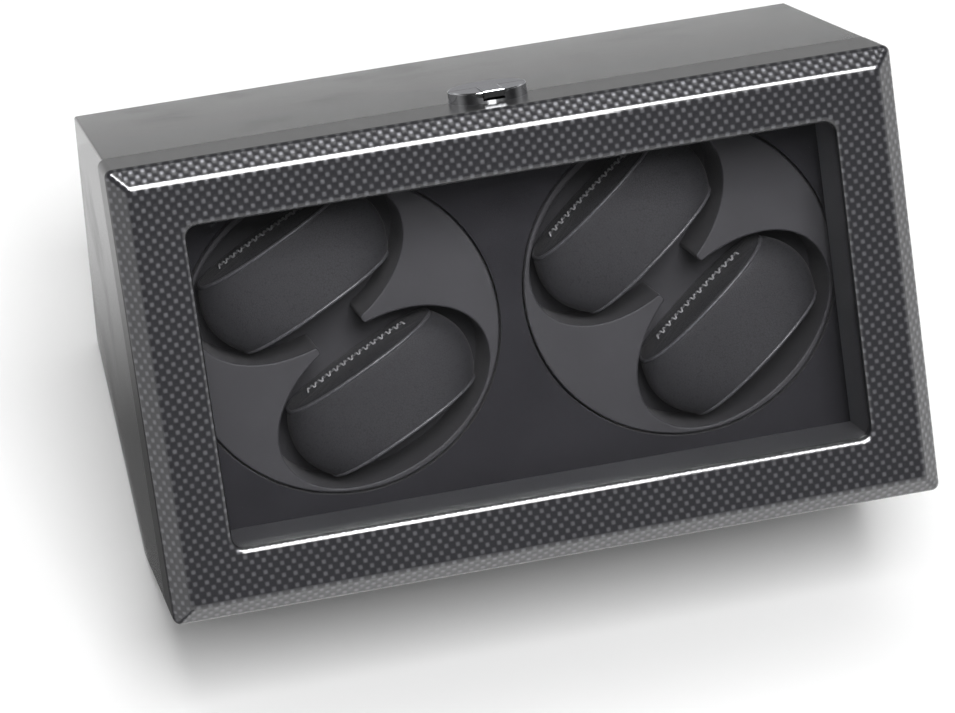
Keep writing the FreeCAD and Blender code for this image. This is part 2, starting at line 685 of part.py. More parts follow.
def turntable_shaft(side):
    """The steel shaft from the hub to the retaining clip."""
    length = BUSH_BACK + CLIP_GAP + CLIP_THICK + SHAFT_END - CUP_BACK
    return rod(table_x(side), CUP_BACK, TABLE_HEIGHT, SHAFT_RADIUS, length)


def shaft_clip(side):
    """The clip that keeps the shaft from pulling out of its bush."""
    y = BUSH_BACK + CLIP_GAP
    ring = rod(table_x(side), y, TABLE_HEIGHT, CLIP_RADIUS, CLIP_THICK)
    return ring.cut(rod(table_x(side), y, TABLE_HEIGHT, SHAFT_RADIUS, CLIP_THICK))


def bearing_bush(side):
    """The flanged bush that the shaft turns in."""
    x = table_x(side)
    y = PLATE_FRONT - BUSH_FLANGE
    bush = rod(x, y, TABLE_HEIGHT, BUSH_FLANGE_RADIUS, BUSH_FLANGE)
    bush = bush.fuse(rod(x, y, TABLE_HEIGHT, BUSH_RADIUS, BUSH_BACK - y))
    return bush.cut(rod(x, y, TABLE_HEIGHT, SHAFT_RADIUS + RUNNING, BUSH_BACK - y)).removeSplitter()


def gear(teeth, y_front, first_tooth):
    """A spur gear about the Y axis, with its first tooth at an angle given in radians."""
    pitch_radius = GEAR_MODULE * teeth / 2
    flank = math.tan(math.radians(PRESSURE_ANGLE))
    half_pitch_tooth = TOOTH_SLACK * math.pi * GEAR_MODULE / 4
    corners = []
    for index in range(teeth):
        middle = first_tooth + 2 * math.pi * index / teeth
        for height, sign in ((-TOOTH_ROOT, -1), (TOOTH_TIP, -1), (TOOTH_TIP, 1), (-TOOTH_ROOT, 1)):
            rise = height * GEAR_MODULE
            radius = pitch_radius + rise
            half = half_pitch_tooth - rise * flank
            angle = middle + sign * half / radius
            corners.append(FreeCAD.Vector(radius * math.cos(angle), y_front, radius * math.sin(angle)))
    outline = Part.Face(Part.makePolygon(corners + corners[:1]))
    return outline.extrude(FreeCAD.Vector(0, GEAR_WIDTH, 0))


def drive_gear(side):
    """The large gear on the turntable's shaft, with a tooth towards the pinion."""
    wheel = gear(GEAR_TEETH, BOSS_BACK, -math.pi / 2)
    wheel = wheel.cut(rod(0, BOSS_BACK, 0, SHAFT_RADIUS, GEAR_WIDTH))
    wheel.translate(FreeCAD.Vector(table_x(side), 0, TABLE_HEIGHT))
    return wheel


def motor_pinion(side):
    """The small gear on the gearbox's output shaft, with a gap towards the drive gear."""
    pinion = gear(PINION_TEETH, BOSS_BACK, math.pi / 2 + math.pi / PINION_TEETH)
    pinion = pinion.fuse(rod(0, BOSS_BACK, 0, PINION_SHAFT_RADIUS, PLATE_BACK + PINION_SEAT - BOSS_BACK))
    pinion = pinion.removeSplitter()
    pinion.translate(FreeCAD.Vector(table_x(side), 0, PINION_HEIGHT))
    return pinion


def motor_screws():
    """Two screws through the plate into each gearbox."""
    screws = []
    for side in SIDES:
        for step in (-MOTOR_SCREW_OFFSET, MOTOR_SCREW_OFFSET):
            x = table_x(side) + step
            length = PLATE_THICK + MOTOR_SCREW_DEPTH
            screws.append(screw(x, PLATE_FRONT, PINION_HEIGHT, MOTOR_SCREW_RADIUS, length,
                                HUB_SCREW_HEAD, HUB_SCREW_SINK, Y_AXIS))
    return screws


def gear_motor(side):
    """The gearbox on the plate's back, with the motor behind it."""
    x = table_x(side)
    motor = rod(x, PLATE_BACK, PINION_HEIGHT, GEARBOX_RADIUS, GEARBOX_LENGTH)
    motor = motor.fuse(rod(x, PLATE_BACK, PINION_HEIGHT, MOTOR_RADIUS, GEARBOX_LENGTH + MOTOR_LENGTH))
    bore = rod(x, PLATE_BACK, PINION_HEIGHT, PINION_SHAFT_RADIUS + RUNNING, PINION_SEAT + CLIP_GAP)
    motor = motor.cut(bore).removeSplitter()
    for hole in motor_screws():
        motor = motor.cut(hole)
    return motor


def plate_screws():
    """Screws through the motor plate into its cleats."""
    screws = []
    x = INNER_HALF - CLEAT / 2
    for side in (-1, 1):
        for z in (PLATE_LOW + CLEAT, PLATE_HIGH - CLEAT):
            screws.append(screw(side * x, PLATE_FRONT, z, SCREW_RADIUS, PLATE_THICK + CLEAT / 2,
                                SCREW_HEAD_RADIUS, SCREW_HEAD, Y_AXIS))
    return screws


def motor_plate():
    """The steel plate that carries the bushes and the motors."""
    low = (-INNER_HALF, PLATE_FRONT, PLATE_LOW)
    plate = slab(low, (INNER_HALF, PLATE_BACK, PLATE_HIGH))
    for side in SIDES:
        plate = plate.cut(rod(table_x(side), PLATE_FRONT, TABLE_HEIGHT, BUSH_RADIUS, PLATE_THICK))
        plate = plate.cut(rod(table_x(side), PLATE_FRONT, PINION_HEIGHT, PINION_HOLE_RADIUS, PLATE_THICK))
    for hole in motor_screws() + plate_screws():
        plate = plate.cut(hole)
    return plate


def plate_cleats():
    """The cleats behind the motor plate, drilled for its screws."""
    strips = []
    for strip in cleats(PLATE_BACK, PLATE_LOW, PLATE_HIGH):
        for hole in plate_screws():
            strip = strip.cut(hole)
        strips.append(strip)
    return strips


def oval_wire(scale, z):
    """A four-arc oval across the cushion, at a place along its width."""
    half_long = CUSHION_LONG / 2 * scale
    half_deep = CUSHION_DEEP / 2 * scale
    small = CUSHION_END * scale
    across = half_long - small
    large = (across ** 2 + half_deep ** 2 - small ** 2) / (2 * (half_deep - small))
    tilt = math.atan2(large - half_deep, across)
    join_x = across + small * math.cos(tilt)
    join_y = small * math.sin(tilt)
    corners = [(join_x, -join_y), (join_x, join_y), (-join_x, join_y), (-join_x, -join_y)]
    crests = [(half_long, 0), (0, half_deep), (-half_long, 0), (0, -half_deep)]
    arcs = []
    for index in range(4):
        ends = (corners[index], crests[index], corners[(index + 1) % 4])
        points = [FreeCAD.Vector(x, y, z) for x, y in ends]
        arcs.append(Part.Arc(*points).toShape())
    return Part.Wire(arcs)


def cushion(side, row):
    """A crowned watch cushion whose stitched ends draw in, row +1 upper or -1 lower."""
    half = CUSHION_WIDE / 2
    seam = half - CUSHION_SEAM
    stations = [(-half, 1 - CUSHION_DRAW), (-seam, 1 - CUSHION_CROWN), (0, 1), (seam, 1 - CUSHION_CROWN),
                (half, 1 - CUSHION_DRAW)]
    wires = [oval_wire(scale, z) for z, scale in stations]
    body = Part.makeLoft(wires, True)
    depth = POCKET_BACK - CUSHION_GAP - CUSHION_DEEP / 2
    body.translate(FreeCAD.Vector(0, depth, row * POCKET_OFFSET))
    return turned(body, side)


def base_pad():
    """The felt that the box stands on."""
    half_x = CASE_HALF - PAD_INSET
    half_y = BASE_DEPTH / 2 - PAD_INSET
    return slab((-half_x, -half_y, 0), (half_x, half_y, PAD_THICK))


def base_weight():
    """The steel plate that keeps the box from tipping when the door is open."""
    floor = PAD_THICK + WALL
    rear = BASE_DEPTH / 2 - WALL - WEIGHT_REAR
    low = (WEIGHT_X - WEIGHT_WIDTH / 2, rear - WEIGHT_DEPTH, floor)
    return slab(low, (WEIGHT_X + WEIGHT_WIDTH / 2, rear, floor + WEIGHT_THICK))


def circuit_board():
    """The control board above the base."""
    floor = PAD_THICK + WALL + STANDOFF_HEIGHT
    low = (BOARD_X - BOARD_WIDTH / 2, -BOARD_DEPTH / 2, floor)
    return slab(low, (BOARD_X + BOARD_WIDTH / 2, BOARD_DEPTH / 2, floor + BOARD_THICK))


def board_standoffs():
    """The four posts under the board."""
    half_x = BOARD_WIDTH / 2 - STANDOFF_INSET
    half_y = BOARD_DEPTH / 2 - STANDOFF_INSET
    floor = PAD_THICK + WALL
    places = [(BOARD_X + x, y) for x in (-half_x, half_x) for y in (-half_y, half_y)]
    return [rod(x, y, floor, STANDOFF_RADIUS, STANDOFF_HEIGHT, Z_AXIS) for x, y in places]


def cover_face():
    """How far back the case's back is, in the standing frame."""
    return BASE_DEPTH / 2


def cover_screws():
    """Four screws at the control cover's corners."""
    x = COVER_WIDTH / 2 - COVER_LAP / 2
    z = COVER_HEIGHT / 2 - COVER_LAP / 2
    y = cover_face() + COVER_THICK
    length = COVER_THICK + SCREW_LENGTH
    return [screw(i * x, y, COVER_MIDDLE + k * z, SCREW_RADIUS, length, SCREW_HEAD_RADIUS, SCREW_HEAD, -Y_AXIS)
            for i in (-1, 1) for k in (-1, 1)]


def back_panel():
    """The back board in the standing frame, with the opening behind the control cover."""
    panel = mitred_panel(1)
    panel.Placement = FACE_TO_STAND
    width = COVER_WIDTH / 2 - COVER_LAP
    height = COVER_HEIGHT / 2 - COVER_LAP
    low = (-width, cover_face() - 2 * WALL, COVER_MIDDLE - height)
    panel = panel.cut(slab(low, (width, cover_face() + WALL, COVER_MIDDLE + height)))
    for hole in cover_screws():
        panel = panel.cut(hole)
    return panel


def bezel_box(grow, y_front, y_back):
    """The rocker's housing outline, grown all round, carried along Y."""
    half_x = ROCKER_WIDTH / 2 + ROCKER_GAP + BEZEL_WALL + grow
    half_z = ROCKER_RADIUS + ROCKER_GAP + BEZEL_WALL + grow
    low = (ROCKER_X - half_x, y_front, COVER_MIDDLE - half_z)
    return slab(low, (ROCKER_X + half_x, y_back, COVER_MIDDLE + half_z))


def rocker_pivot_y():
    """The rocker's pivot along Y."""
    return cover_face() + COVER_THICK + BEZEL_FLANGE - ROCKER_PROUD


def rocker_pins(radius):
    """The rocker's pivot pin, through it and into both housing walls."""
    length = ROCKER_WIDTH + 2 * ROCKER_GAP + BEZEL_WALL
    return rod(ROCKER_X - length / 2, rocker_pivot_y(), COVER_MIDDLE, radius, length, X_AXIS)


def switch_bezel():
    """The rocker's housing, open at the front."""
    outside = cover_face() + COVER_THICK
    bezel = bezel_box(0, outside - BEZEL_DEPTH, outside)
    bezel = bezel.fuse(bezel_box(BEZEL_LIP, outside, outside + BEZEL_FLANGE))
    hollow = bezel_box(-BEZEL_WALL, outside - BEZEL_DEPTH + BEZEL_WALL, outside + BEZEL_FLANGE)
    return bezel.cut(hollow).cut(rocker_pins(ROCKER_PIN_RADIUS + RUNNING)).removeSplitter()


def power_rocker():
    """The rocker key: a round-backed key with a shallow valley, tilted to its off side."""
    y = rocker_pivot_y()
    start = ROCKER_X - ROCKER_WIDTH / 2
    key = rod(start, y, COVER_MIDDLE, ROCKER_RADIUS, ROCKER_WIDTH, X_AXIS)
    rise = ROCKER_RADIUS * math.tan(math.radians(ROCKER_TILT))
    reach = 2 * ROCKER_RADIUS
    valley = [(y + ROCKER_PROUD, COVER_MIDDLE), (y + ROCKER_PROUD + 2 * rise, COVER_MIDDLE + reach),
              (y - ROCKER_PROUD, COVER_MIDDLE + reach), (y - ROCKER_PROUD, COVER_MIDDLE - reach),
              (y + ROCKER_PROUD + 2 * rise, COVER_MIDDLE - reach)]
    key = key.common(prism(valley, start, start + ROCKER_WIDTH))
    key = key.fuse(rocker_pins(ROCKER_PIN_RADIUS)).removeSplitter()
    key.rotate(FreeCAD.Vector(ROCKER_X, y, COVER_MIDDLE), X_AXIS, -ROCKER_TILT)
    return key


def dc_inlet():
    """The low-voltage socket with its centre pin."""
    outside = cover_face() + COVER_THICK
    inlet = rod(INLET_X, outside - INLET_LENGTH, COVER_MIDDLE, INLET_RADIUS, INLET_LENGTH)
    inlet = inlet.fuse(rod(INLET_X, outside, COVER_MIDDLE, INLET_FLANGE_RADIUS, INLET_FLANGE))
    mouth = outside + INLET_FLANGE
    inlet = inlet.cut(rod(INLET_X, mouth - SOCKET_DEPTH, COVER_MIDDLE, SOCKET_RADIUS, SOCKET_DEPTH))
    pin = rod(INLET_X, mouth - SOCKET_DEPTH, COVER_MIDDLE, SOCKET_PIN_RADIUS, SOCKET_DEPTH - INLET_FLANGE)
    return inlet.fuse(pin).removeSplitter()


def knob_x(side):
    """A mode knob's axis along X."""
    return SIDES[side] * KNOB_SPREAD / 2


def knob_shaft(side, radius, inside):
    """A mode knob's shaft, from inside its selector to the cover's face."""
    y = cover_face() - inside
    return rod(knob_x(side), y, COVER_MIDDLE, radius, inside + COVER_THICK + KNOB_GAP)


def mode_knob(side):
    """A mode knob with a pointer ridge, on its shaft."""
    y = cover_face() + COVER_THICK + KNOB_GAP
    skirt = KNOB_LENGTH - KNOB_RIDGE
    knob = rod(knob_x(side), y, COVER_MIDDLE, KNOB_RADIUS, skirt)
    rim = [edge for edge in knob.Edges if edge.BoundBox.YMin > y + skirt - 1e-6]
    knob = knob.makeFillet(KNOB_EDGE, rim)
    for index in range(KNOB_FLUTES):
        angle = 2 * math.pi * (index + 0.5) / KNOB_FLUTES
        x = knob_x(side) + (KNOB_RADIUS + FLUTE_RADIUS / 2) * math.cos(angle)
        z = COVER_MIDDLE + (KNOB_RADIUS + FLUTE_RADIUS / 2) * math.sin(angle)
        knob = knob.cut(rod(x, y, z, FLUTE_RADIUS, skirt))
    half = KNOB_RIDGE / 2
    low = (knob_x(side) - half, y, COVER_MIDDLE - KNOB_RADIUS)
    ridge = slab(low, (knob_x(side) + half, y + KNOB_LENGTH, COVER_MIDDLE + KNOB_RADIUS))
    ridge = ridge.common(rod(knob_x(side), y, COVER_MIDDLE, KNOB_RADIUS, KNOB_LENGTH))
    knob = knob.fuse(ridge).fuse(knob_shaft(side, KNOB_SHAFT_RADIUS, SELECTOR_DEPTH / 2))
    return knob.removeSplitter()


def mode_selectors():
    """The two rotary selectors behind the cover."""
    selectors = []
    half = SELECTOR_SIZE / 2
    for side in SIDES:
        low = (knob_x(side) - half, cover_face() - SELECTOR_DEPTH, COVER_MIDDLE - half)
        box = slab(low, (knob_x(side) + half, cover_face(), COVER_MIDDLE + half))
        selectors.append(box.cut(knob_shaft(side, KNOB_SHAFT_RADIUS + RUNNING, SELECTOR_DEPTH / 2 + CLIP_GAP)))
    return selectors


def rear_cover():
    """The control cover over the back's opening."""
    outside = cover_face() + COVER_THICK
    cover = rounded_bar(COVER_WIDTH, COVER_HEIGHT, COVER_ROUND, cover_face(), outside, COVER_MIDDLE)
    rim = [edge for edge in cover.Edges if edge.BoundBox.YMin > outside - 1e-6]
    cover = cover.makeFillet(COVER_EDGE, rim)
    cover = cover.cut(rod(INLET_X, cover_face(), COVER_MIDDLE, INLET_RADIUS, COVER_THICK))
    cover = cover.cut(bezel_box(0, cover_face(), outside))
    for side in SIDES:
        cover = cover.cut(knob_shaft(side, KNOB_SHAFT_RADIUS + RUNNING, 0))
    for hole in cover_screws():
        cover = cover.cut(hole)
    return cover


def write_case():
    """The boards of the case and what is fixed to them."""
    for side, sign in SIDES.items():
        write(side + "_side_panel", [side_panel(sign)], FACE_TO_STAND)
    write("top_panel", [mitred_panel(0)], FACE_TO_STAND)
    write("base_panel", [mitred_panel(2)], FACE_TO_STAND)
    write("underside_panel", [underside_panel()], FACE_TO_STAND)
    write("back_panel", [back_panel()], STANDING)
    write("base_pad", [base_pad()], STANDING)
    write("base_weight", [base_weight()], STANDING)
    write("display_deck", [display_deck()], FACE_TO_STAND)
    write("deck_cleats", cleats(DECK_BACK, CASE_LOW + WALL, CASE_TOP - WALL), FACE_TO_STAND)
    write("body_hinge_leaves", body_hinge_leaves(), FACE_TO_STAND)
    write("body_hinge_screws", body_leaf_screws(), FACE_TO_STAND)
    write("hinge_pins", [hinge_pin(x) for x in hinge_places()], FACE_TO_STAND)
    write("clasp_keeper", [clasp_keeper()], FACE_TO_STAND)


def write_door():
    """The door and what swings with it."""
    write("door_frame", [door_frame()], FACE_TO_STAND)
    write("window_glass", [window_bar(GLASS_LAP, GLASS_SET, GLASS_SET + GLASS_THICK)], FACE_TO_STAND)
    write("window_liner", [window_liner()], FACE_TO_STAND)
    write("liner_screws", recessed(liner_screws(), -Y_AXIS), FACE_TO_STAND)
    write("door_hinge_leaves", door_hinge_leaves(), FACE_TO_STAND)
    write("door_hinge_screws", door_leaf_screws(), FACE_TO_STAND)
    write("clasp_cap", [clasp_cap()], FACE_TO_STAND)
    write("clasp_tab", [clasp_tab()], FACE_TO_STAND)


def write_drive():
    """The turntables, their cushions and the drive of each."""
    write("motor_plate", [motor_plate()], FACE_TO_STAND)
    write("motor_plate_screws", recessed(plate_screws(), Y_AXIS), FACE_TO_STAND)
    write("motor_plate_cleats", plate_cleats(), FACE_TO_STAND)
    write("motor_screws", recessed(motor_screws(), Y_AXIS), FACE_TO_STAND)
    for side in SIDES:
        write("turntable_cup_" + side, [turntable_cup(side)], FACE_TO_STAND)
        write("pocket_floor_" + side, [pocket_floor(side)], FACE_TO_STAND)
        write("turntable_hub_" + side, [turntable_hub(side)], FACE_TO_STAND)
        write("hub_screws_" + side, recessed(hub_screws(side), Y_AXIS), FACE_TO_STAND)
        write("turntable_shaft_" + side, [turntable_shaft(side)], FACE_TO_STAND)
        write("shaft_clip_" + side, [shaft_clip(side)], FACE_TO_STAND)
        write("bearing_bush_" + side, [bearing_bush(side)], FACE_TO_STAND)
        write("drive_gear_" + side, [drive_gear(side)], FACE_TO_STAND)
        write("motor_pinion_" + side, [motor_pinion(side)], FACE_TO_STAND)
        write("gear_motor_" + side, [gear_motor(side)], FACE_TO_STAND)
        write("cushion_" + side + "_upper", [cushion(side, 1)], FACE_TO_STAND)
        write("cushion_" + side + "_lower", [cushion(side, -1)], FACE_TO_STAND)


def write_electrics():
    """The control board and the controls on the rear cover."""
    write("circuit_board", [circuit_board()], STANDING)
    write("board_standoffs", board_standoffs(), STANDING)
    write("rear_cover", [rear_cover()], STANDING)
    write("rear_cover_screws", recessed(cover_screws(), -Y_AXIS), STANDING)
    write("dc_inlet", [dc_inlet()], STANDING)
    write("switch_bezel", [switch_bezel()], STANDING)
    write("power_rocker", [power_rocker()], STANDING)
    write("mode_selectors", mode_selectors(), STANDING)
    for side in SIDES:
        write("mode_knob_" + side, [mode_knob(side)], STANDING)


os.makedirs("parts", exist_ok=True)
write_case()
write_door()
write_drive()
write_electrics()
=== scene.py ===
import json
import math

import bpy
import numpy as np
from mathutils import Matrix, Vector


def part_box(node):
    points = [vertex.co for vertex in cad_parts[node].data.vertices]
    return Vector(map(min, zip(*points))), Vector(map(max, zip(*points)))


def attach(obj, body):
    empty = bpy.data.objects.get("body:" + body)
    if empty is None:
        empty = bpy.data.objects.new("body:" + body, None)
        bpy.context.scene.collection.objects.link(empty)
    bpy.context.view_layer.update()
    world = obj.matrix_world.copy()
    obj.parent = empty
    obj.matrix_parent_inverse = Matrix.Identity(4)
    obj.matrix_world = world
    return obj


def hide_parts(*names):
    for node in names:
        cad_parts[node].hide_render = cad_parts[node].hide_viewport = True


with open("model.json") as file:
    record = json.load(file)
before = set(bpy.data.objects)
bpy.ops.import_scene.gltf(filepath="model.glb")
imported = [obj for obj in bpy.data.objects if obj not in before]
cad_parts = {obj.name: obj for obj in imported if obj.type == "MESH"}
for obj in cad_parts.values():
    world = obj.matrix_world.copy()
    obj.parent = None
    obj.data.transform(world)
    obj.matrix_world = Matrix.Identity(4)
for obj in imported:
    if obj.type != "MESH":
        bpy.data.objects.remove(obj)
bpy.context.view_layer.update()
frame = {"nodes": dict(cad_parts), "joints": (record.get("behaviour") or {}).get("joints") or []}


# Case: six boards, mitred and glued into a box that leans back on a wedge. They are sprayed with
# black lacquer and polished, so they softly mirror the floor, with a faint ripple from the spray.
class Wire:
    """A socket in a finish's node tree, so that shading is written as an expression."""

    def __init__(self, tree, socket=None):
        self.tree = tree
        self.socket = socket

    def node(self, kind, settings=None, values=None, output=0):
        """Add a node with its settings, put a value or a link into each socket, and wrap one output."""
        made = self.tree.nodes.new("ShaderNode" + kind)
        for name, value in (settings or {}).items():
            setattr(made, name, value)
        for name, value in (values or {}).items():
            if isinstance(value, Wire):
                self.tree.links.new(value.socket, made.inputs[name])
            else:
                made.inputs[name].default_value = value
        return Wire(self.tree, made.outputs[output])

    def maths(self, operation, *others):
        """A Math node on this value and any others."""
        return self.node("Math", {"operation": operation}, dict(enumerate((self, *others))))

    def __add__(self, other):
        return self.maths("ADD", other)

    def __sub__(self, other):
        return self.maths("SUBTRACT", other)

    def __rsub__(self, other):
        return self.maths("MULTIPLY_ADD", -1.0, other)

    def __mul__(self, other):
        return self.maths("MULTIPLY", other)

    __radd__ = __add__
    __rmul__ = __mul__

    def __abs__(self):
        return self.maths("ABSOLUTE")

    def above(self, other):
        """The larger of two values."""
        return self.maths("MAXIMUM", other)

    def ramp(self, start, end):
        """0 before start and 1 after end, with an eased step between them."""
        values = {"Value": self, "From Min": start, "From Max": end}
        return self.node("MapRange", {"interpolation_type": "SMOOTHSTEP"}, values)

    def mix(self, first, second):
        """A colour between two colours, by this share of the second."""
        return self.node("Mix", {"data_type": "RGBA"}, {0: self, 6: first, 7: second}, 2)

    def noise(self, scale, detail=2.0):
        """Noise at this many features a metre."""
        return self.node("TexNoise", None, {"Vector": self, "Scale": scale, "Detail": detail})

    def bump(self, distance, strength=1.0):
        """A normal for this height, where a height of 1 stands this far out."""
        return self.node("Bump", None, {"Height": self, "Distance": distance, "Strength": strength})

    def axes(self):
        """The three numbers of this vector."""
        return [self.node("SeparateXYZ", None, {"Vector": self}, index) for index in range(3)]


def start_finish(name):
    """A new material, and the place of each surface point in the object's own frame."""
    material = bpy.data.materials.new(name)
    material.use_nodes = True
    return material, Wire(material.node_tree).node("TexCoord", output="Object")


def set_finish(material, values):
    """Put these values or wires into the sockets of the material's main shader."""
    shader = material.node_tree.nodes["Principled BSDF"]
    for name, value in values.items():
        if isinstance(value, Wire):
            material.node_tree.links.new(value.socket, shader.inputs[name])
        else:
            shader.inputs[name].default_value = value
    return material


def dress(material, *nodes):
    """Give these parts of the frame a finish."""
    for node in nodes:
        for place in frame["nodes"][node].material_slots:
            place.material = material


def black_lacquer():
    """Polished black lacquer, a little softer where it has been handled."""
    material, place = start_finish("black_lacquer")
    handled = place.noise(22.0, 4.0).ramp(0.45, 0.8)
    ripple = place.noise(260.0, 1.0)
    return set_finish(material, {
        "Base Color": handled.mix((0.0065, 0.0065, 0.0075, 1), (0.009, 0.009, 0.010, 1)),
        "Roughness": 0.18 + handled * 0.06,
        "Specular IOR Level": 0.22,
        "Normal": ripple.bump(0.000012),
    })


lacquer = black_lacquer()
dress(lacquer, "left_side_panel", "right_side_panel", "top_panel")
dress(lacquer, "base_panel", "underside_panel", "back_panel")


# Base felt: a pad of pressed black felt, glued under the base so that the lacquer doesn't
# scratch the table.
def pressed_felt():
    """Matted fibres, lighter where they stand up."""
    material, place = start_finish("black_felt")
    fibres = place.noise(2600.0, 6.0)
    return set_finish(material, {
        "Base Color": fibres.ramp(0.3, 0.75).mix((0.008, 0.008, 0.009, 1), (0.035, 0.035, 0.038, 1)),
        "Roughness": 0.95,
        "Specular IOR Level": 0.1,
        "Sheen Weight": 0.4,
        "Sheen Roughness": 0.5,
        "Normal": fibres.bump(0.0005),
    })


dress(pressed_felt(), "base_pad")


# Ballast and steelwork: the base weight, the motor plate, the shafts and their screws, of steel
# with a bright zinc plating that shows its rolling lines. The plate is screwed to its cleats.
def plated_metal(name, shade, roughness, line_scale):
    """A metal surface with a fine grain and a slight cloudiness.

    The grain's scale along X is multiplied by line_scale, so a small one draws it out into lines.
    """
    material, place = start_finish(name)
    stretched = place.node("Mapping", None, {"Vector": place, "Scale": (line_scale, 1.0, 1.0)})
    drawn = stretched.noise(1800.0, 3.0)
    cloud = place.noise(35.0, 3.0)
    darker = tuple(0.8 * level for level in shade) + (1,)
    return set_finish(material, {
        "Base Color": cloud.ramp(0.35, 0.7).mix(darker, tuple(shade) + (1,)),
        "Metallic": 1.0,
        "Roughness": roughness + drawn * 0.12,
        "Normal": drawn.bump(0.00003),
    })


zinc = plated_metal("zinc_plate", (0.52, 0.53, 0.54), 0.28, 0.03)
dress(zinc, "base_weight", "motor_plate", "motor_plate_screws", "motor_screws")
for side in ("left", "right"):
    dress(zinc, "turntable_shaft_" + side, "shaft_clip_" + side, "hub_screws_" + side)


# Cleats: strips of bare fibreboard, sawn and glued inside the case, that carry the deck and
# the motor plate.
def bare_board():
    """Pressed wood fibre, mottled at two scales."""
    material, place = start_finish("bare_board")
    fibre = place.noise(1400.0, 5.0)
    flecks = place.noise(160.0, 3.0)
    tone = (fibre * 0.6 + flecks * 0.4).ramp(0.3, 0.7)
    return set_finish(material, {
        "Base Color": tone.mix((0.21, 0.14, 0.08, 1), (0.40, 0.29, 0.18, 1)),
        "Roughness": 0.85,
        "Normal": fibre.bump(0.0002),
    })


dress(bare_board(), "deck_cleats", "motor_plate_cleats")


# Motors: each a turned gearbox can with a smaller motor can behind it, nickel plated and
# screwed to the plate's back.
dress(plated_metal("motor_can", (0.42, 0.42, 0.43), 0.3, 1.0), "gear_motor_left", "gear_motor_right")


# Bushes and pinions: turned from brass bar, with a fine grain and a cloudy tarnish. The bushes sit
# in the motor plate, and the pinions on the gearboxes' output shafts.
brass = plated_metal("turned_brass", (0.66, 0.47, 0.19), 0.22, 1.0)
for side in ("left", "right"):
    dress(brass, "bearing_bush_" + side, "motor_pinion_" + side)


# Gears and hubs: moulded in natural nylon, slightly waxy, with a soft grain from the mould. Each
# hub is screwed to its pocket floor, and each gear sits on its shaft. The board's posts match.
def moulded(name, shade, roughness, grain, depth):
    """A moulded plastic with an even spark-eroded grain."""
    material, place = start_finish(name)
    texture = place.noise(grain, 2.0)
    lighter = tuple(min(1.0, 1.18 * level) for level in shade) + (1,)
    return set_finish(material, {
        "Base Color": texture.ramp(0.35, 0.65).mix(tuple(shade) + (1,), lighter),
        "Roughness": roughness + texture * 0.15,
        "Normal": texture.bump(depth),
    })


nylon = moulded("natural_nylon", (0.62, 0.60, 0.54), 0.38, 900.0, 0.00003)
for side in ("left", "right"):
    dress(nylon, "turntable_hub_" + side, "drive_gear_" + side)
dress(nylon, "board_standoffs")


# Control board: a glass-fibre board with a green mask, copper tracks showing through it and
# tinned pads in a grid. It stands on four posts above the base.
def printed_board():
    """Green mask over tracks that run in straight steps, with bright pads."""
    material, place = start_finish("green_board")
    x, y, _ = place.axes()
    track_pitch = 0.0038
    pad_pitch = 0.00254
    tracks = abs((x * (math.pi / track_pitch)).maths("SINE")).ramp(0.86, 0.95)
    bend = place.noise(60.0, 0.0).ramp(0.49, 0.51)
    pads_x = abs((x * (math.pi / pad_pitch)).maths("SINE")).ramp(0.93, 0.97)
    pads_y = abs((y * (math.pi / pad_pitch)).maths("SINE")).ramp(0.93, 0.97)
    pads = pads_x * pads_y * (1 - bend)
    mask = (tracks * bend).mix((0.006, 0.055, 0.022, 1), (0.018, 0.13, 0.05, 1))
    return set_finish(material, {
        "Base Color": pads.mix(mask, (0.62, 0.62, 0.6, 1)),
        "Metallic": pads * 0.9,
        "Roughness": 0.35,
        "Normal": (tracks * bend + pads).bump(0.00004),
    })


dress(printed_board(), "circuit_board")


# Display deck: a board covered in black suede, with a round hole for each turntable. It is fixed
# to the cleats at the sides of the case.
def black_suede():
    """Short nap that lies in soft patches."""
    material, place = start_finish("black_suede")
    nap = place.noise(3200.0, 4.0)
    brushed = place.noise(28.0, 3.0)
    tone = (nap * 0.5 + brushed * 0.5).ramp(0.3, 0.72)
    return set_finish(material, {
        "Base Color": tone.mix((0.032, 0.0315, 0.036, 1), (0.044, 0.0435, 0.0495, 1)),
        "Roughness": 0.95,
        "Specular IOR Level": 0.12,
        "Sheen Weight": 0.12,
        "Sheen Roughness": 0.45,
        "Normal": nap.bump(0.00012),
    })


dress(black_suede(), "display_deck")


# Turntables: each a dark grey moulding with two joined oval pockets, closed by a floor plate.
# They are flocked, so they look soft and matt, and their lips catch the light.
def grey_flock():
    """Fine upright fibres over the moulding."""
    material, place = start_finish("grey_flock")
    fibres = place.noise(4200.0, 3.0)
    worn = place.noise(40.0, 3.0)
    tone = (fibres * 0.55 + worn * 0.45).ramp(0.3, 0.72)
    return set_finish(material, {
        "Base Color": tone.mix((0.045, 0.0445, 0.050, 1), (0.060, 0.0595, 0.0665, 1)),
        "Roughness": 0.58,
        "Specular IOR Level": 0.5,
        "Sheen Weight": 0.1,
        "Sheen Roughness": 0.4,
        "Normal": fibres.bump(0.00008),
    })


flock = grey_flock()
for side in ("left", "right"):
    dress(flock, "turntable_cup_" + side, "pocket_floor_" + side)


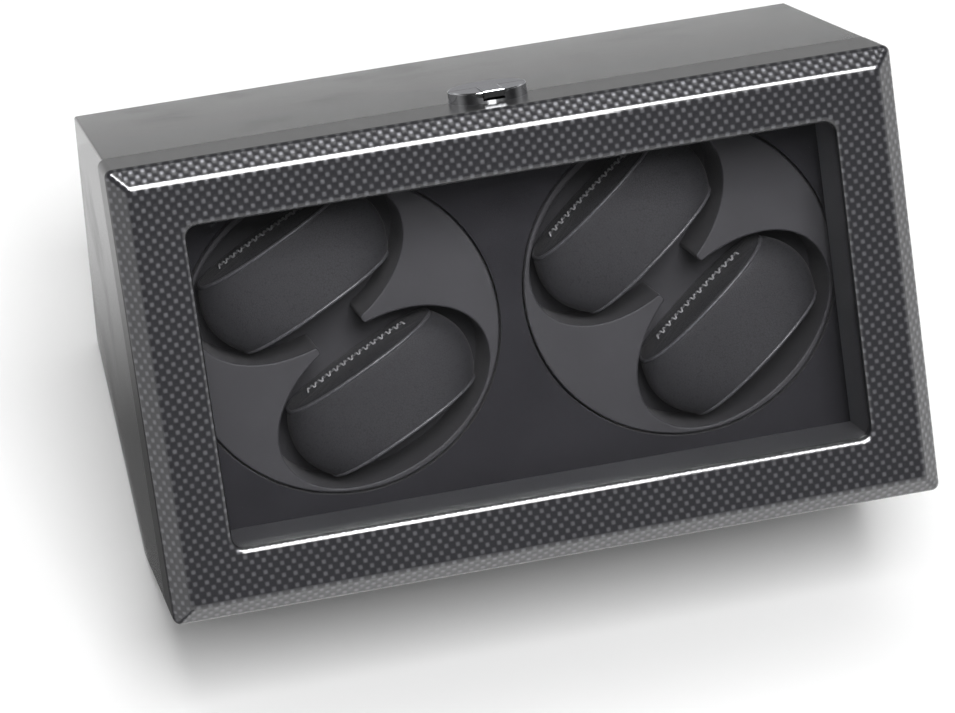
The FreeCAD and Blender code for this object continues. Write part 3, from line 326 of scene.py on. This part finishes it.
# Watch cushions: foam in a sleeve of dark grey leatherette, piped round both ends. Each end is
# folded in and closed by a zigzag of thread across its middle. They press into the pockets.
def oval(count, half_long, half_deep):
    """Points on an oval across the cushion, a little squarer than an ellipse.

    Each is (half_long * c ** p, half_deep * s ** p), with c and s the cosine and sine of its turn,
    their signs kept, and p a little below 1.
    """
    power = 0.87
    turn = np.linspace(0.0, 2 * math.pi, count, endpoint=False)
    cosine = np.cos(turn)
    sine = np.sin(turn)
    long = half_long * np.sign(cosine) * np.abs(cosine) ** power
    deep = half_deep * np.sign(sine) * np.abs(sine) ** power
    return long, deep


def sleeve_and_patches(half_long, half_deep, half_wide, taper):
    """The cushion's cover as rings of points: each is the oval, scaled, at a place along the width.

    The patch grows from its middle to its rim, the rim rolls over into the seam, and the sleeve
    runs on to the other seam. Its long ends follow the pocket: they are scaled by 1 - taper * place ** 2.
    Returns the grid's points and its faces, with closed poles.
    """
    around = 128
    patch_rings = 8
    patch_share = 0.86
    sleeve_rings = 14
    sleeve_share = 0.958
    sleeve_start = 0.85
    patch = np.sin(np.linspace(0.0, 1.0, patch_rings + 1)[1:] * math.pi / 2) * patch_share
    rim = np.array([0.895, 0.925, 0.945, 0.94, 0.953])
    rim_place = np.array([0.99, 0.965, 0.935, 0.915, 0.89])
    sleeve = np.linspace(sleeve_start, 0.0, sleeve_rings)
    scale = np.concatenate([patch, rim, np.full(len(sleeve), sleeve_share)])
    place = np.concatenate([np.full(len(patch), 1.0), rim_place, sleeve])
    scale = np.concatenate([scale, scale[-2::-1]])
    place = np.concatenate([place, -place[-2::-1]])
    long, deep = oval(around, half_long, half_deep)
    long_scale = scale * (1 - taper * place ** 2)
    rings = np.stack([long_scale[:, None] * long, scale[:, None] * deep,
                      np.broadcast_to(half_wide * place[:, None], (len(scale), around))], axis=2)
    poles = np.array([[0.0, 0.0, half_wide], [0.0, 0.0, -half_wide]])
    points = np.concatenate([rings.reshape(-1, 3), poles])
    row = np.arange(len(scale) - 1)[:, None] * around
    here = np.arange(around)[None, :]
    there = (here + 1) % around
    quads = np.stack([row + here, row + around + here, row + around + there, row + there], axis=2)
    last = (len(scale) - 1) * around
    top = len(points) - 2
    first_fan = np.stack([np.full(around, top), here[0], there[0]], axis=1)
    last_fan = np.stack([np.full(around, top + 1), last + there[0], last + here[0]], axis=1)
    return points, quads.reshape(-1, 4), np.concatenate([first_fan, last_fan])


def mesh_of(name, points, *face_groups):
    """A smooth mesh of these points and faces."""
    mesh = bpy.data.meshes.new(name)
    faces = [face for group in face_groups for face in group.tolist()]
    mesh.from_pydata(points.tolist(), [], faces)
    mesh.polygons.foreach_set("use_smooth", np.ones(len(faces), dtype=bool))
    mesh.update()
    return mesh


def piece_of(mesh, material):
    """An object for a finished mesh, with its finish."""
    piece = bpy.data.objects.new(mesh.name, mesh)
    bpy.context.scene.collection.objects.link(piece)
    mesh.materials.append(material)
    return piece


def filled_cover(points, quads, fans, half_wide, seam):
    """The cover's points once foam has filled it: cloth under pressure, held at its two seams.

    No point moves further than reach. The seams lie at this share of the half width.
    """
    reach = 0.0016
    seam_band = 0.045
    steps = 20
    mesh = mesh_of("cover_blank", points, quads, fans)
    blank = bpy.data.objects.new("cover_blank", mesh)
    bpy.context.scene.collection.objects.link(blank)
    held = blank.vertex_groups.new(name="seams")
    from_seam = np.abs(np.abs(points[:, 2]) - seam * half_wide)
    near_seam = np.flatnonzero(from_seam < seam_band * half_wide)
    held.add(near_seam.tolist(), 1.0, "REPLACE")
    cloth = blank.modifiers.new("filling", "CLOTH")
    cloth.settings.quality = 6
    cloth.settings.mass = 0.3
    cloth.settings.tension_stiffness = 30.0
    cloth.settings.compression_stiffness = 30.0
    cloth.settings.bending_stiffness = 2.0
    cloth.settings.vertex_group_mass = "seams"
    cloth.settings.use_pressure = True
    cloth.settings.uniform_pressure_force = 4.0
    cloth.settings.effector_weights.gravity = 0.0
    cloth.collision_settings.use_collision = False
    cloth.point_cache.frame_start = 1
    cloth.point_cache.frame_end = steps
    scene = bpy.context.scene
    for step in range(1, steps + 1):
        scene.frame_set(step)
    seen = blank.evaluated_get(bpy.context.evaluated_depsgraph_get()).to_mesh()
    filled = np.empty(len(points) * 3)
    seen.vertices.foreach_get("co", filled)
    scene.frame_set(1)
    bpy.data.objects.remove(blank)
    bpy.data.meshes.remove(mesh)
    moved = filled.reshape(-1, 3) - points
    length = np.linalg.norm(moved, axis=1, keepdims=True)
    return points + moved * np.minimum(1.0, reach / np.maximum(length, 1e-9))


def tube_round(path, radius, sides):
    """A closed tube: at each point of a closed path, a circle across the path's direction.

    Its points are path + radius * (cos(turn) * out + sin(turn) * up), with up along Z.
    """
    ahead = np.roll(path, -1, axis=0) - np.roll(path, 1, axis=0)
    ahead = ahead / np.linalg.norm(ahead, axis=1, keepdims=True)
    up = np.array([0.0, 0.0, 1.0])
    out = np.cross(ahead, up)
    turn = np.linspace(0.0, 2 * math.pi, sides, endpoint=False)
    ring = np.cos(turn)[None, :, None] * out[:, None, :] + np.sin(turn)[None, :, None] * up
    points = path[:, None, :] + radius * ring
    row = np.arange(len(path))[:, None] * sides
    ahead_row = np.roll(np.arange(len(path)), -1)[:, None] * sides
    here = np.arange(sides)[None, :]
    there = (here + 1) % sides
    quads = np.stack([row + here, ahead_row + here, ahead_row + there, row + there], axis=2)
    return points.reshape(-1, 3), quads.reshape(-1, 4)


def seam_path(half_long, half_deep, place, count):
    """Points on an oval, at a place along the width."""
    long, deep = oval(count, half_long, half_deep)
    return np.column_stack([long, deep, np.full(count, place)])


def stitch_row(starts, spans, outward, thread):
    """Stitches from each start along its span: short tubes, bowed outward, dipping in at both ends.

    With s the sine of half a turn times the share of the span that is run, a tube's middle rises
    by thread * (2.6 * s - 0.9), and its radius is thread * (0.55 + 0.45 * s).
    """
    rings = 7
    sides = 6
    across = np.cross(spans, outward)
    across = across / np.linalg.norm(across, axis=1, keepdims=True)
    run = np.linspace(0.0, 1.0, rings)
    rise = thread * (2.6 * np.sin(math.pi * run) - 0.9)
    width = thread * (0.55 + 0.45 * np.sin(math.pi * run))
    turn = np.linspace(0.0, 2 * math.pi, sides, endpoint=False)
    centre = starts[:, None, :] + run[None, :, None] * spans[:, None, :] + rise[None, :, None] * outward
    ring = (np.cos(turn)[None, None, :, None] * across[:, None, None, :]
            + np.sin(turn)[None, None, :, None] * outward)
    points = centre[:, :, None, :] + width[None, :, None, None] * ring
    stitch = np.arange(len(starts))[:, None, None] * rings * sides
    row = np.arange(rings - 1)[None, :, None] * sides
    here = np.arange(sides)[None, None, :]
    there = (here + 1) % sides
    quads = np.stack([stitch + row + here, stitch + row + there,
                      stitch + row + sides + there, stitch + row + sides + here], axis=3)
    first_end = stitch[:, 0] + np.arange(sides)[::-1][None, :]
    last_end = stitch[:, 0] + (rings - 1) * sides + np.arange(sides)[None, :]
    return points.reshape(-1, 3), quads.reshape(-1, 4), np.concatenate([first_end, last_end])


def closing_stitches(points, half_wide, end, half_run, pitch, reach, thread):
    """A zigzag of stitches along the middle of an end patch, over the fold that closes the cover.

    Each runs on by one pitch, and crosses from half a reach on one side to half a reach on the other.
    """
    near_middle = 0.001
    patch_start = 0.8
    along = np.arange(-half_run, half_run, pitch)
    slant = np.where(np.arange(len(along)) % 2 == 0, 1.0, -1.0)
    on_patch = end * points[:, 2] > patch_start * half_wide
    middle = points[(np.abs(points[:, 1]) < near_middle) & on_patch]
    middle = middle[np.argsort(middle[:, 0])]
    starts = np.column_stack([along, -0.5 * reach * slant, np.interp(along, middle[:, 0], middle[:, 2])])
    spans = np.column_stack([np.full(len(along), pitch), reach * slant, np.zeros(len(along))])
    return stitch_row(starts, spans, np.array([0.0, 0.0, float(end)]), thread)


def leatherette():
    """Embossed grain in small cells, with a soft sheen and rubbed tops."""
    material, place = start_finish("grey_leatherette")
    cells = place.node("TexVoronoi", {"feature": "DISTANCE_TO_EDGE"}, {"Vector": place, "Scale": 900.0})
    pebble = cells.ramp(0.0, 0.12)
    crease = place.noise(220.0, 4.0)
    tone = (pebble * 0.6 + crease * 0.4).ramp(0.25, 0.85)
    return set_finish(material, {
        "Base Color": tone.mix((0.034, 0.034, 0.0375, 1), (0.050, 0.050, 0.0545, 1)),
        "Roughness": 0.62 - pebble * 0.12,
        "Specular IOR Level": 0.3,
        "Sheen Weight": 0.08,
        "Sheen Roughness": 0.35,
        "Normal": (pebble * 0.7 + crease * 0.6).bump(0.00007),
    })


def piping_cord():
    """The same leatherette drawn tight over a cord, so that it is smoother and shinier. Its colour is
    painted about two and a half times lighter than the sleeve's, a painted highlight along each seam.
    """
    material, place = start_finish("piping_painted_highlight")
    crease = place.noise(700.0, 3.0)
    return set_finish(material, {
        # Painted highlight: the piping's colour is lighter than the sleeve's leatherette.
        "Base Color": crease.ramp(0.3, 0.7).mix((0.085, 0.085, 0.092, 1), (0.125, 0.125, 0.134, 1)),
        "Roughness": 0.3 + crease * 0.1,
        "Normal": crease.bump(0.00004),
    })


def waxed_thread():
    """A twisted thread, lighter than the leatherette."""
    material, place = start_finish("grey_thread")
    twist = place.noise(5200.0, 1.0)
    return set_finish(material, {
        "Base Color": twist.ramp(0.35, 0.65).mix((0.26, 0.26, 0.265, 1), (0.46, 0.46, 0.47, 1)),
        "Roughness": 0.45,
        "Normal": twist.bump(0.0001),
    })


cushion_long = 0.0465
cushion_deep = 0.022
cushion_wide = 0.019
cushion_taper = 0.17
seam_place = 0.925
seam_share = 0.945
cover_points, cover_quads, cover_fans = sleeve_and_patches(
    cushion_long, cushion_deep, cushion_wide, cushion_taper)
cover_points = filled_cover(cover_points, cover_quads, cover_fans, cushion_wide, seam_place)
seam_long = seam_share * cushion_long * (1 - cushion_taper * seam_place ** 2)
seam_deep = seam_share * cushion_deep
piping_radius = 0.0008
piping_points = 160
piping_sides = 10
stitch_pitch = 0.0020
stitch_reach = 0.0040
stitch_thread = 0.0006
stitch_run = 0.026
cover_finish = leatherette()
piping_finish = piping_cord()
thread_finish = waxed_thread()
for side in ("left", "right"):
    turning = next(joint for joint in frame["joints"] if joint["name"] == "turntable_" + side + "_turn")
    front = Vector(turning["axis"]).normalized()
    middles = {}
    for row in ("upper", "lower"):
        low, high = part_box("cushion_" + side + "_" + row)
        middles[row] = (low + high) / 2
    wide = (middles["upper"] - middles["lower"]).normalized()
    axes = np.array([wide.cross(-front), -front, wide])
    for row, middle in middles.items():
        body = "cushion_" + side + "_" + row
        placed_points = cover_points @ axes + np.array(middle)
        cover = piece_of(mesh_of(body + "_cover", placed_points, cover_quads, cover_fans), cover_finish)
        smooth = cover.modifiers.new("smooth", "SUBSURF")
        smooth.levels = 1
        smooth.render_levels = 1
        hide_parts(body)
        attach(cover, body)
        piping = []
        stitches = []
        for end in (-1, 1):
            seam = seam_path(seam_long, seam_deep, end * seam_place * cushion_wide, piping_points)
            piping.append(tube_round(seam, piping_radius, piping_sides))
            stitches.append(closing_stitches(cover_points, cushion_wide, end, stitch_run, stitch_pitch,
                                             stitch_reach, stitch_thread))
        trims = (("_piping", piping, piping_finish), ("_stitching", stitches, thread_finish))
        for name, parts, material in trims:
            points = np.concatenate([part[0] for part in parts])
            count = len(parts[0][0])
            groups = [parts[0][index] for index in range(1, len(parts[0]))]
            groups += [parts[1][index] + count for index in range(1, len(parts[1]))]
            trim = piece_of(mesh_of(body + name, points @ axes + np.array(middle), *groups), material)
            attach(trim, body)


# Rear control cover: a moulded black plate over the opening in the back, held by four black screws.
# The screws of the window's liner match.
cover_plastic = moulded("textured_black", (0.014, 0.014, 0.015), 0.5, 2400.0, 0.00006)
dress(cover_plastic, "rear_cover")
black_screw = plated_metal("black_oxide", (0.055, 0.055, 0.058), 0.35, 1.0)
dress(black_screw, "rear_cover_screws", "liner_screws")


# Inlet, switch and selectors: glossy moulded black parts, set into the cover. The rocker has a
# printed bar and ring at its two ends.
def rocker_black():
    """Moulded gloss black with a white bar above the middle and a white ring below it."""
    material, place = start_finish("rocker_black")
    low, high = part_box("power_rocker")
    centre = (low + high) / 2
    x, _, z = place.axes()
    mark_height = 0.0040
    bar_half_wide = 0.0004
    bar_half_high = 0.0014
    ring_radius = 0.0013
    ring_half_line = 0.00025
    edge = 0.0001
    across = x - centre.x
    rise = z - (centre.z + mark_height)
    drop = z - (centre.z - mark_height)
    bar_across = 1 - abs(across).ramp(bar_half_wide, bar_half_wide + edge)
    bar = bar_across * (1 - abs(rise).ramp(bar_half_high, bar_half_high + edge))
    distance = (across * across + drop * drop).maths("SQRT")
    ring = 1 - abs(distance - ring_radius).ramp(ring_half_line, ring_half_line + edge)
    scuff = place.noise(300.0, 3.0)
    return set_finish(material, {
        "Base Color": bar.above(ring).mix((0.010, 0.010, 0.011, 1), (0.75, 0.75, 0.74, 1)),
        "Roughness": 0.18 + scuff * 0.18,
        "Normal": scuff.bump(0.00001),
    })


switch_plastic = moulded("gloss_black", (0.011, 0.011, 0.012), 0.14, 500.0, 0.00001)
dress(switch_plastic, "dc_inlet", "switch_bezel", "mode_selectors")
dress(rocker_black(), "power_rocker")


# Mode knobs: moulded black knobs, with shafts that run through the cover into the selectors. A
# pointer ridge on each carries a white line.
def knob_black(side):
    """Satin black with a white line along the upper half of the ridge."""
    material, place = start_finish("knob_black_" + side)
    low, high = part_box("mode_knob_" + side)
    centre = (low + high) / 2
    x, y, z = place.axes()
    line_half_wide = 0.0004
    line_start = centre.z + 0.0014
    ridge_top = high.y - 0.0004
    across = 1 - abs(x - centre.x).ramp(line_half_wide, line_half_wide + 0.0001)
    line = across * z.ramp(line_start, line_start + 0.0002) * y.ramp(ridge_top, ridge_top + 0.0002)
    grain = place.noise(1500.0, 2.0)
    return set_finish(material, {
        "Base Color": line.mix((0.018, 0.018, 0.019, 1), (0.8, 0.8, 0.78, 1)),
        "Roughness": 0.38 + grain * 0.2,
        "Normal": grain.bump(0.00003),
    })


for side in ("left", "right"):
    dress(knob_black(side), "mode_knob_" + side)


# Hinges: two butt hinges of nickel-plated steel, let into the meeting faces of the case and the
# door, and screwed there. A pin joins the leaves of each.
nickel = plated_metal("nickel_plate", (0.62, 0.60, 0.56), 0.2, 0.05)
dress(nickel, "body_hinge_leaves", "body_hinge_screws", "hinge_pins")
dress(nickel, "door_hinge_leaves", "door_hinge_screws")


# Door: a deep frame covered in a carbon-look weave on its front and bevels, under clear lacquer.
# Its walls are plain black lacquer, and it hangs on the two hinges at its foot.
def carbon_lacquer():
    """A checkered weave laid over the front and down the bevels.

    The weave is the product of two cosines, one along the width and one up the face, measured over
    the surface, so that it runs on over the bevels. Raised cells are bright bundles of fibre, and
    the rest are dark. A turntable's axis gives the lean, so that the face is measured upright.
    """
    material, place = start_finish("carbon_lacquer")
    turning = next(joint for joint in frame["joints"] if joint["name"] == "turntable_left_turn")
    deck_depth = 0.053
    axis_height = 0.1032
    lean = math.asin(Vector(turning["axis"]).normalized().z)
    upright = Matrix.Rotation(lean, 3, "X")
    shift = Vector((0.0, deck_depth, axis_height)) - upright @ Vector((0.0, *turning["pos_m"][1:]))
    face = place.node("Mapping", None, {"Vector": place, "Rotation": (lean, 0.0, 0.0), "Location": shift})
    x, y, z = face.axes()
    half_width = 0.170
    height = 0.198
    bevel = 0.008
    longer = math.sqrt(2) - 1
    across = abs(x) + (abs(x) - (half_width - bevel)).above(0.0) * longer
    up = z + ((z - (height - bevel)).above(0.0) - (bevel - z).above(0.0)) * longer
    cell_wide = 0.002525
    cell_high = 0.00265
    along_x = (across * (math.pi / cell_wide)).maths("COSINE")
    along_z = (up * (math.pi / cell_high)).maths("COSINE")
    weave = along_x * along_z
    bundle = weave.ramp(-0.1, 1.15)
    on_front = 1 - y.ramp(bevel, bevel + 0.0006)
    window_half_wide = 0.1412
    window_half_high = 0.0707
    window_middle = 0.1002
    edge = 0.0002
    lip_start = 0.0008
    lip_end = 0.0012
    in_width = 1 - abs(x).ramp(window_half_wide - edge, window_half_wide)
    in_height = 1 - abs(z - window_middle).ramp(window_half_high - edge, window_half_high)
    covered = on_front * (1 - in_width * in_height * y.ramp(lip_start, lip_end))
    fibre = place.noise(420.0, 3.0)
    bright = (bundle * (0.55 + fibre * 0.9)) * covered
    plain = covered.mix((0.0065, 0.0065, 0.0075, 1), (0.020, 0.020, 0.023, 1))
    return set_finish(material, {
        "Base Color": bright.mix(plain, (0.122, 0.122, 0.132, 1)),
        "Metallic": bundle * covered * 0.7,
        "Roughness": 0.28 + bundle * covered * 0.1,
        "Specular IOR Level": 0.25,
        "Coat Weight": covered,
        "Coat Roughness": 0.025,
        "Normal": (weave * covered).bump(0.00012, 0.6),
    })


dress(carbon_lacquer(), "door_frame")


# Window: a plain sheet of clear glass with a faint tint, held in the door's rebate by the liner.
# Its surface mirrors a little of the room.
def clear_glass():
    """Clear glass: what its surface doesn't mirror passes straight through, with a faint tint."""
    material, place = start_finish("clear_glass")
    smear = place.noise(9.0, 4.0)
    set_finish(material, {
        "Base Color": (0.95, 0.96, 0.96, 1),
        "Metallic": 1.0,
        "Roughness": smear * 0.03,
    })
    tree = material.node_tree
    mirrored = place.node("Fresnel", None, {"IOR": 1.45})
    through = place.node("BsdfTransparent", None, {"Color": (0.972, 0.97, 0.976, 1)})
    shader = Wire(tree, tree.nodes["Principled BSDF"].outputs[0])
    mixed = place.node("MixShader", None, {0: mirrored, 1: through, 2: shader})
    tree.links.new(mixed.socket, tree.nodes["Material Output"].inputs["Surface"])
    return material


dress(clear_glass(), "window_glass")


# Liner: a moulded satin black sleeve behind the glass, with a fine grain from the mould. Its grey is
# painted lighter than black, standing in for the light that falls on its lower ledge through the glass.
# It is screwed to posts in the door.
dress(moulded("satin_black_painted_lighter", (0.115, 0.115, 0.122), 0.36, 1100.0, 0.00002), "window_liner")


# Clasp: a chromed round clasp in two halves, one on the case and one on the door, that meet on the
# parting line. A release tab slides in a notch of the door's half.
def chrome_plate():
    """Polished chrome with faint buffing marks."""
    material, place = start_finish("chrome_plate")
    buffed = place.noise(1300.0, 4.0)
    return set_finish(material, {
        "Base Color": buffed.ramp(0.3, 0.7).mix((0.50, 0.505, 0.52, 1), (0.58, 0.585, 0.60, 1)),
        "Metallic": 1.0,
        "Specular Tint": (0.6, 0.6, 0.62, 1),
        "Roughness": 0.04 + buffed * 0.05,
        "Normal": buffed.bump(0.000004),
    })


dress(chrome_plate(), "clasp_keeper", "clasp_cap", "clasp_tab")


# Studio: a pale floor under a broad lamp in front and a weaker one overhead, with a lamp for gleams on
# the edges. Two cards glow grey, and only reflections see them. One is a painted reflection behind the
# object that dims the top's gloss. The other is a painted shadow on the floor beside the base, for the
# gloss of the lower side panel. Floor and world show white behind the object, and the floor keeps its
# shadow.
def pale_floor():
    """A square of floor, lifted to the eye: a little by the object, and to white further away."""
    reach = 9.0
    corners = reach * np.array([[-1.0, -1.0, 0.0], [1.0, -1.0, 0.0], [1.0, 1.0, 0.0], [-1.0, 1.0, 0.0]])
    mesh = mesh_of("floor", corners, np.array([[0, 1, 2, 3]]))
    material, place = start_finish("pale_floor")
    mottle = place.noise(3.0, 2.0)
    set_finish(material, {
        "Base Color": mottle.mix((0.87, 0.87, 0.87, 1), (0.89, 0.89, 0.89, 1)),
        "Roughness": 0.9,
        "Specular IOR Level": 0.0,
    })
    tree = material.node_tree
    seen = place.node("LightPath", output="Is Camera Ray")
    seen = seen.above(place.node("LightPath", output="Is Glossy Ray"))
    seen = seen.above(place.node("LightPath", output="Is Transmission Ray"))
    away = place.node("VectorMath", {"operation": "LENGTH"}, {0: place}, 1)
    lift = 0.08 + away.ramp(0.36, 0.9) * 0.92
    white = place.node("Emission", None, {"Color": (1, 1, 1, 1), "Strength": 1.0})
    shader = Wire(tree, tree.nodes["Principled BSDF"].outputs[0])
    mixed = place.node("MixShader", None, {0: seen * lift, 1: shader, 2: white})
    tree.links.new(mixed.socket, tree.nodes["Material Output"].inputs["Surface"])
    floor = piece_of(mesh, material)


def studio_world():
    """Even fill light; white to the eye and to glass, and dimmer overhead in reflections."""
    world = bpy.data.worlds.new("studio")
    bpy.context.scene.world = world
    world.use_nodes = True
    tree = world.node_tree
    place = Wire(tree).node("TexCoord", output="Generated")
    height = place.axes()[2]
    reflected = 1 - height.ramp(0.05, 0.3) * 0.94
    camera = place.node("LightPath", output="Is Camera Ray")
    camera = camera.above(place.node("LightPath", output="Is Transmission Ray"))
    glossy = place.node("LightPath", output="Is Glossy Ray")
    fill = 0.4
    level = camera.above(glossy * reflected)
    level = level.above((1 - camera.above(glossy)) * fill)
    shade = tree.nodes["Background"]
    shade.inputs["Color"].default_value = (1.0, 1.0, 1.0, 1.0)
    tree.links.new(level.socket, shade.inputs["Strength"])


def lamp(name, power, size, place, target):
    """A rectangular soft lamp that points at a place."""
    light = bpy.data.lights.new(name, "AREA")
    light.shape = "RECTANGLE"
    light.size = size[0]
    light.size_y = size[1]
    light.energy = power
    holder = bpy.data.objects.new(name, light)
    holder.location = place
    holder.rotation_mode = "QUATERNION"
    holder.rotation_quaternion = (Vector(target) - Vector(place)).to_track_quat("-Z", "Y")
    bpy.context.scene.collection.objects.link(holder)
    return holder


def card(name, corners, shade, fade):
    """A card that glows and that only reflections see: a painted reflection, so that the gloss beside it
    isn't all white.

    Its shade goes to white between two places along Y.
    """
    material, place = start_finish(name)
    white = place.axes()[1].ramp(*fade)
    set_finish(material, {
        "Base Color": (0, 0, 0, 1),
        "Specular IOR Level": 0.0,
        "Emission Color": white.mix((shade, shade, shade, 1), (1, 1, 1, 1)),
        "Emission Strength": 1.0,
    })
    held = piece_of(mesh_of(name, np.array(corners), np.array([[0, 1, 2, 3]])), material)
    held.visible_camera = False
    held.visible_diffuse = False
    held.visible_transmission = False
    held.visible_shadow = False


pale_floor()
studio_world()
lamp("front_lamp", 92.0, (1.2, 1.2), (0.05, -1.65, 3.0), (0.0, -0.05, 0.1))
lamp("overhead_lamp", 12.0, (1.6, 0.8), (0.1, 0.15, 2.0), (0.0, 0.0, 0.1))
gleam = lamp("edge_gleam", 100.0, (1.6, 0.92), (0.0, -0.15, 1.6), (0.0, -0.15, 0.2))
gleam.visible_diffuse = False
gleam.visible_transmission = False
# Painted reflection: a grey glowing card behind the object, seen only in the top panel's gloss.
back_corners = ((-1.2, 0.36, 0.0), (1.2, 0.36, 0.0), (1.2, 0.36, 0.2), (-1.2, 0.36, 0.2))
card("painted_back_reflection", back_corners, 0.56, (0.5, 0.6))
# Painted shadow: a dark glowing card on the floor beside the base, seen only in the side panel's gloss,
# fading to white towards the back.
side_corners = ((-0.5, -0.3, 0.001), (-0.169, -0.3, 0.001), (-0.169, 0.2, 0.001), (-0.5, 0.2, 0.001))
card("painted_side_shadow", side_corners, 0.16, (0.0, 0.17))

scene = bpy.context.scene
scene.view_settings.view_transform = "Standard"
eye = bpy.data.cameras.new("photo_view")
eye.sensor_width = 36.0
eye.lens = 156.7
eye.clip_end = 100.0
camera = bpy.data.objects.new("photo_view", eye)
camera_place = Vector((-0.2843, -1.2709, 1.5042))
camera_target = Vector((-0.0171, -0.0969, 0.1344))
camera.location = camera_place
camera.rotation_mode = "QUATERNION"
camera.rotation_quaternion = (camera_target - camera_place).to_track_quat("-Z", "Y")
scene.collection.objects.link(camera)
scene.camera = camera
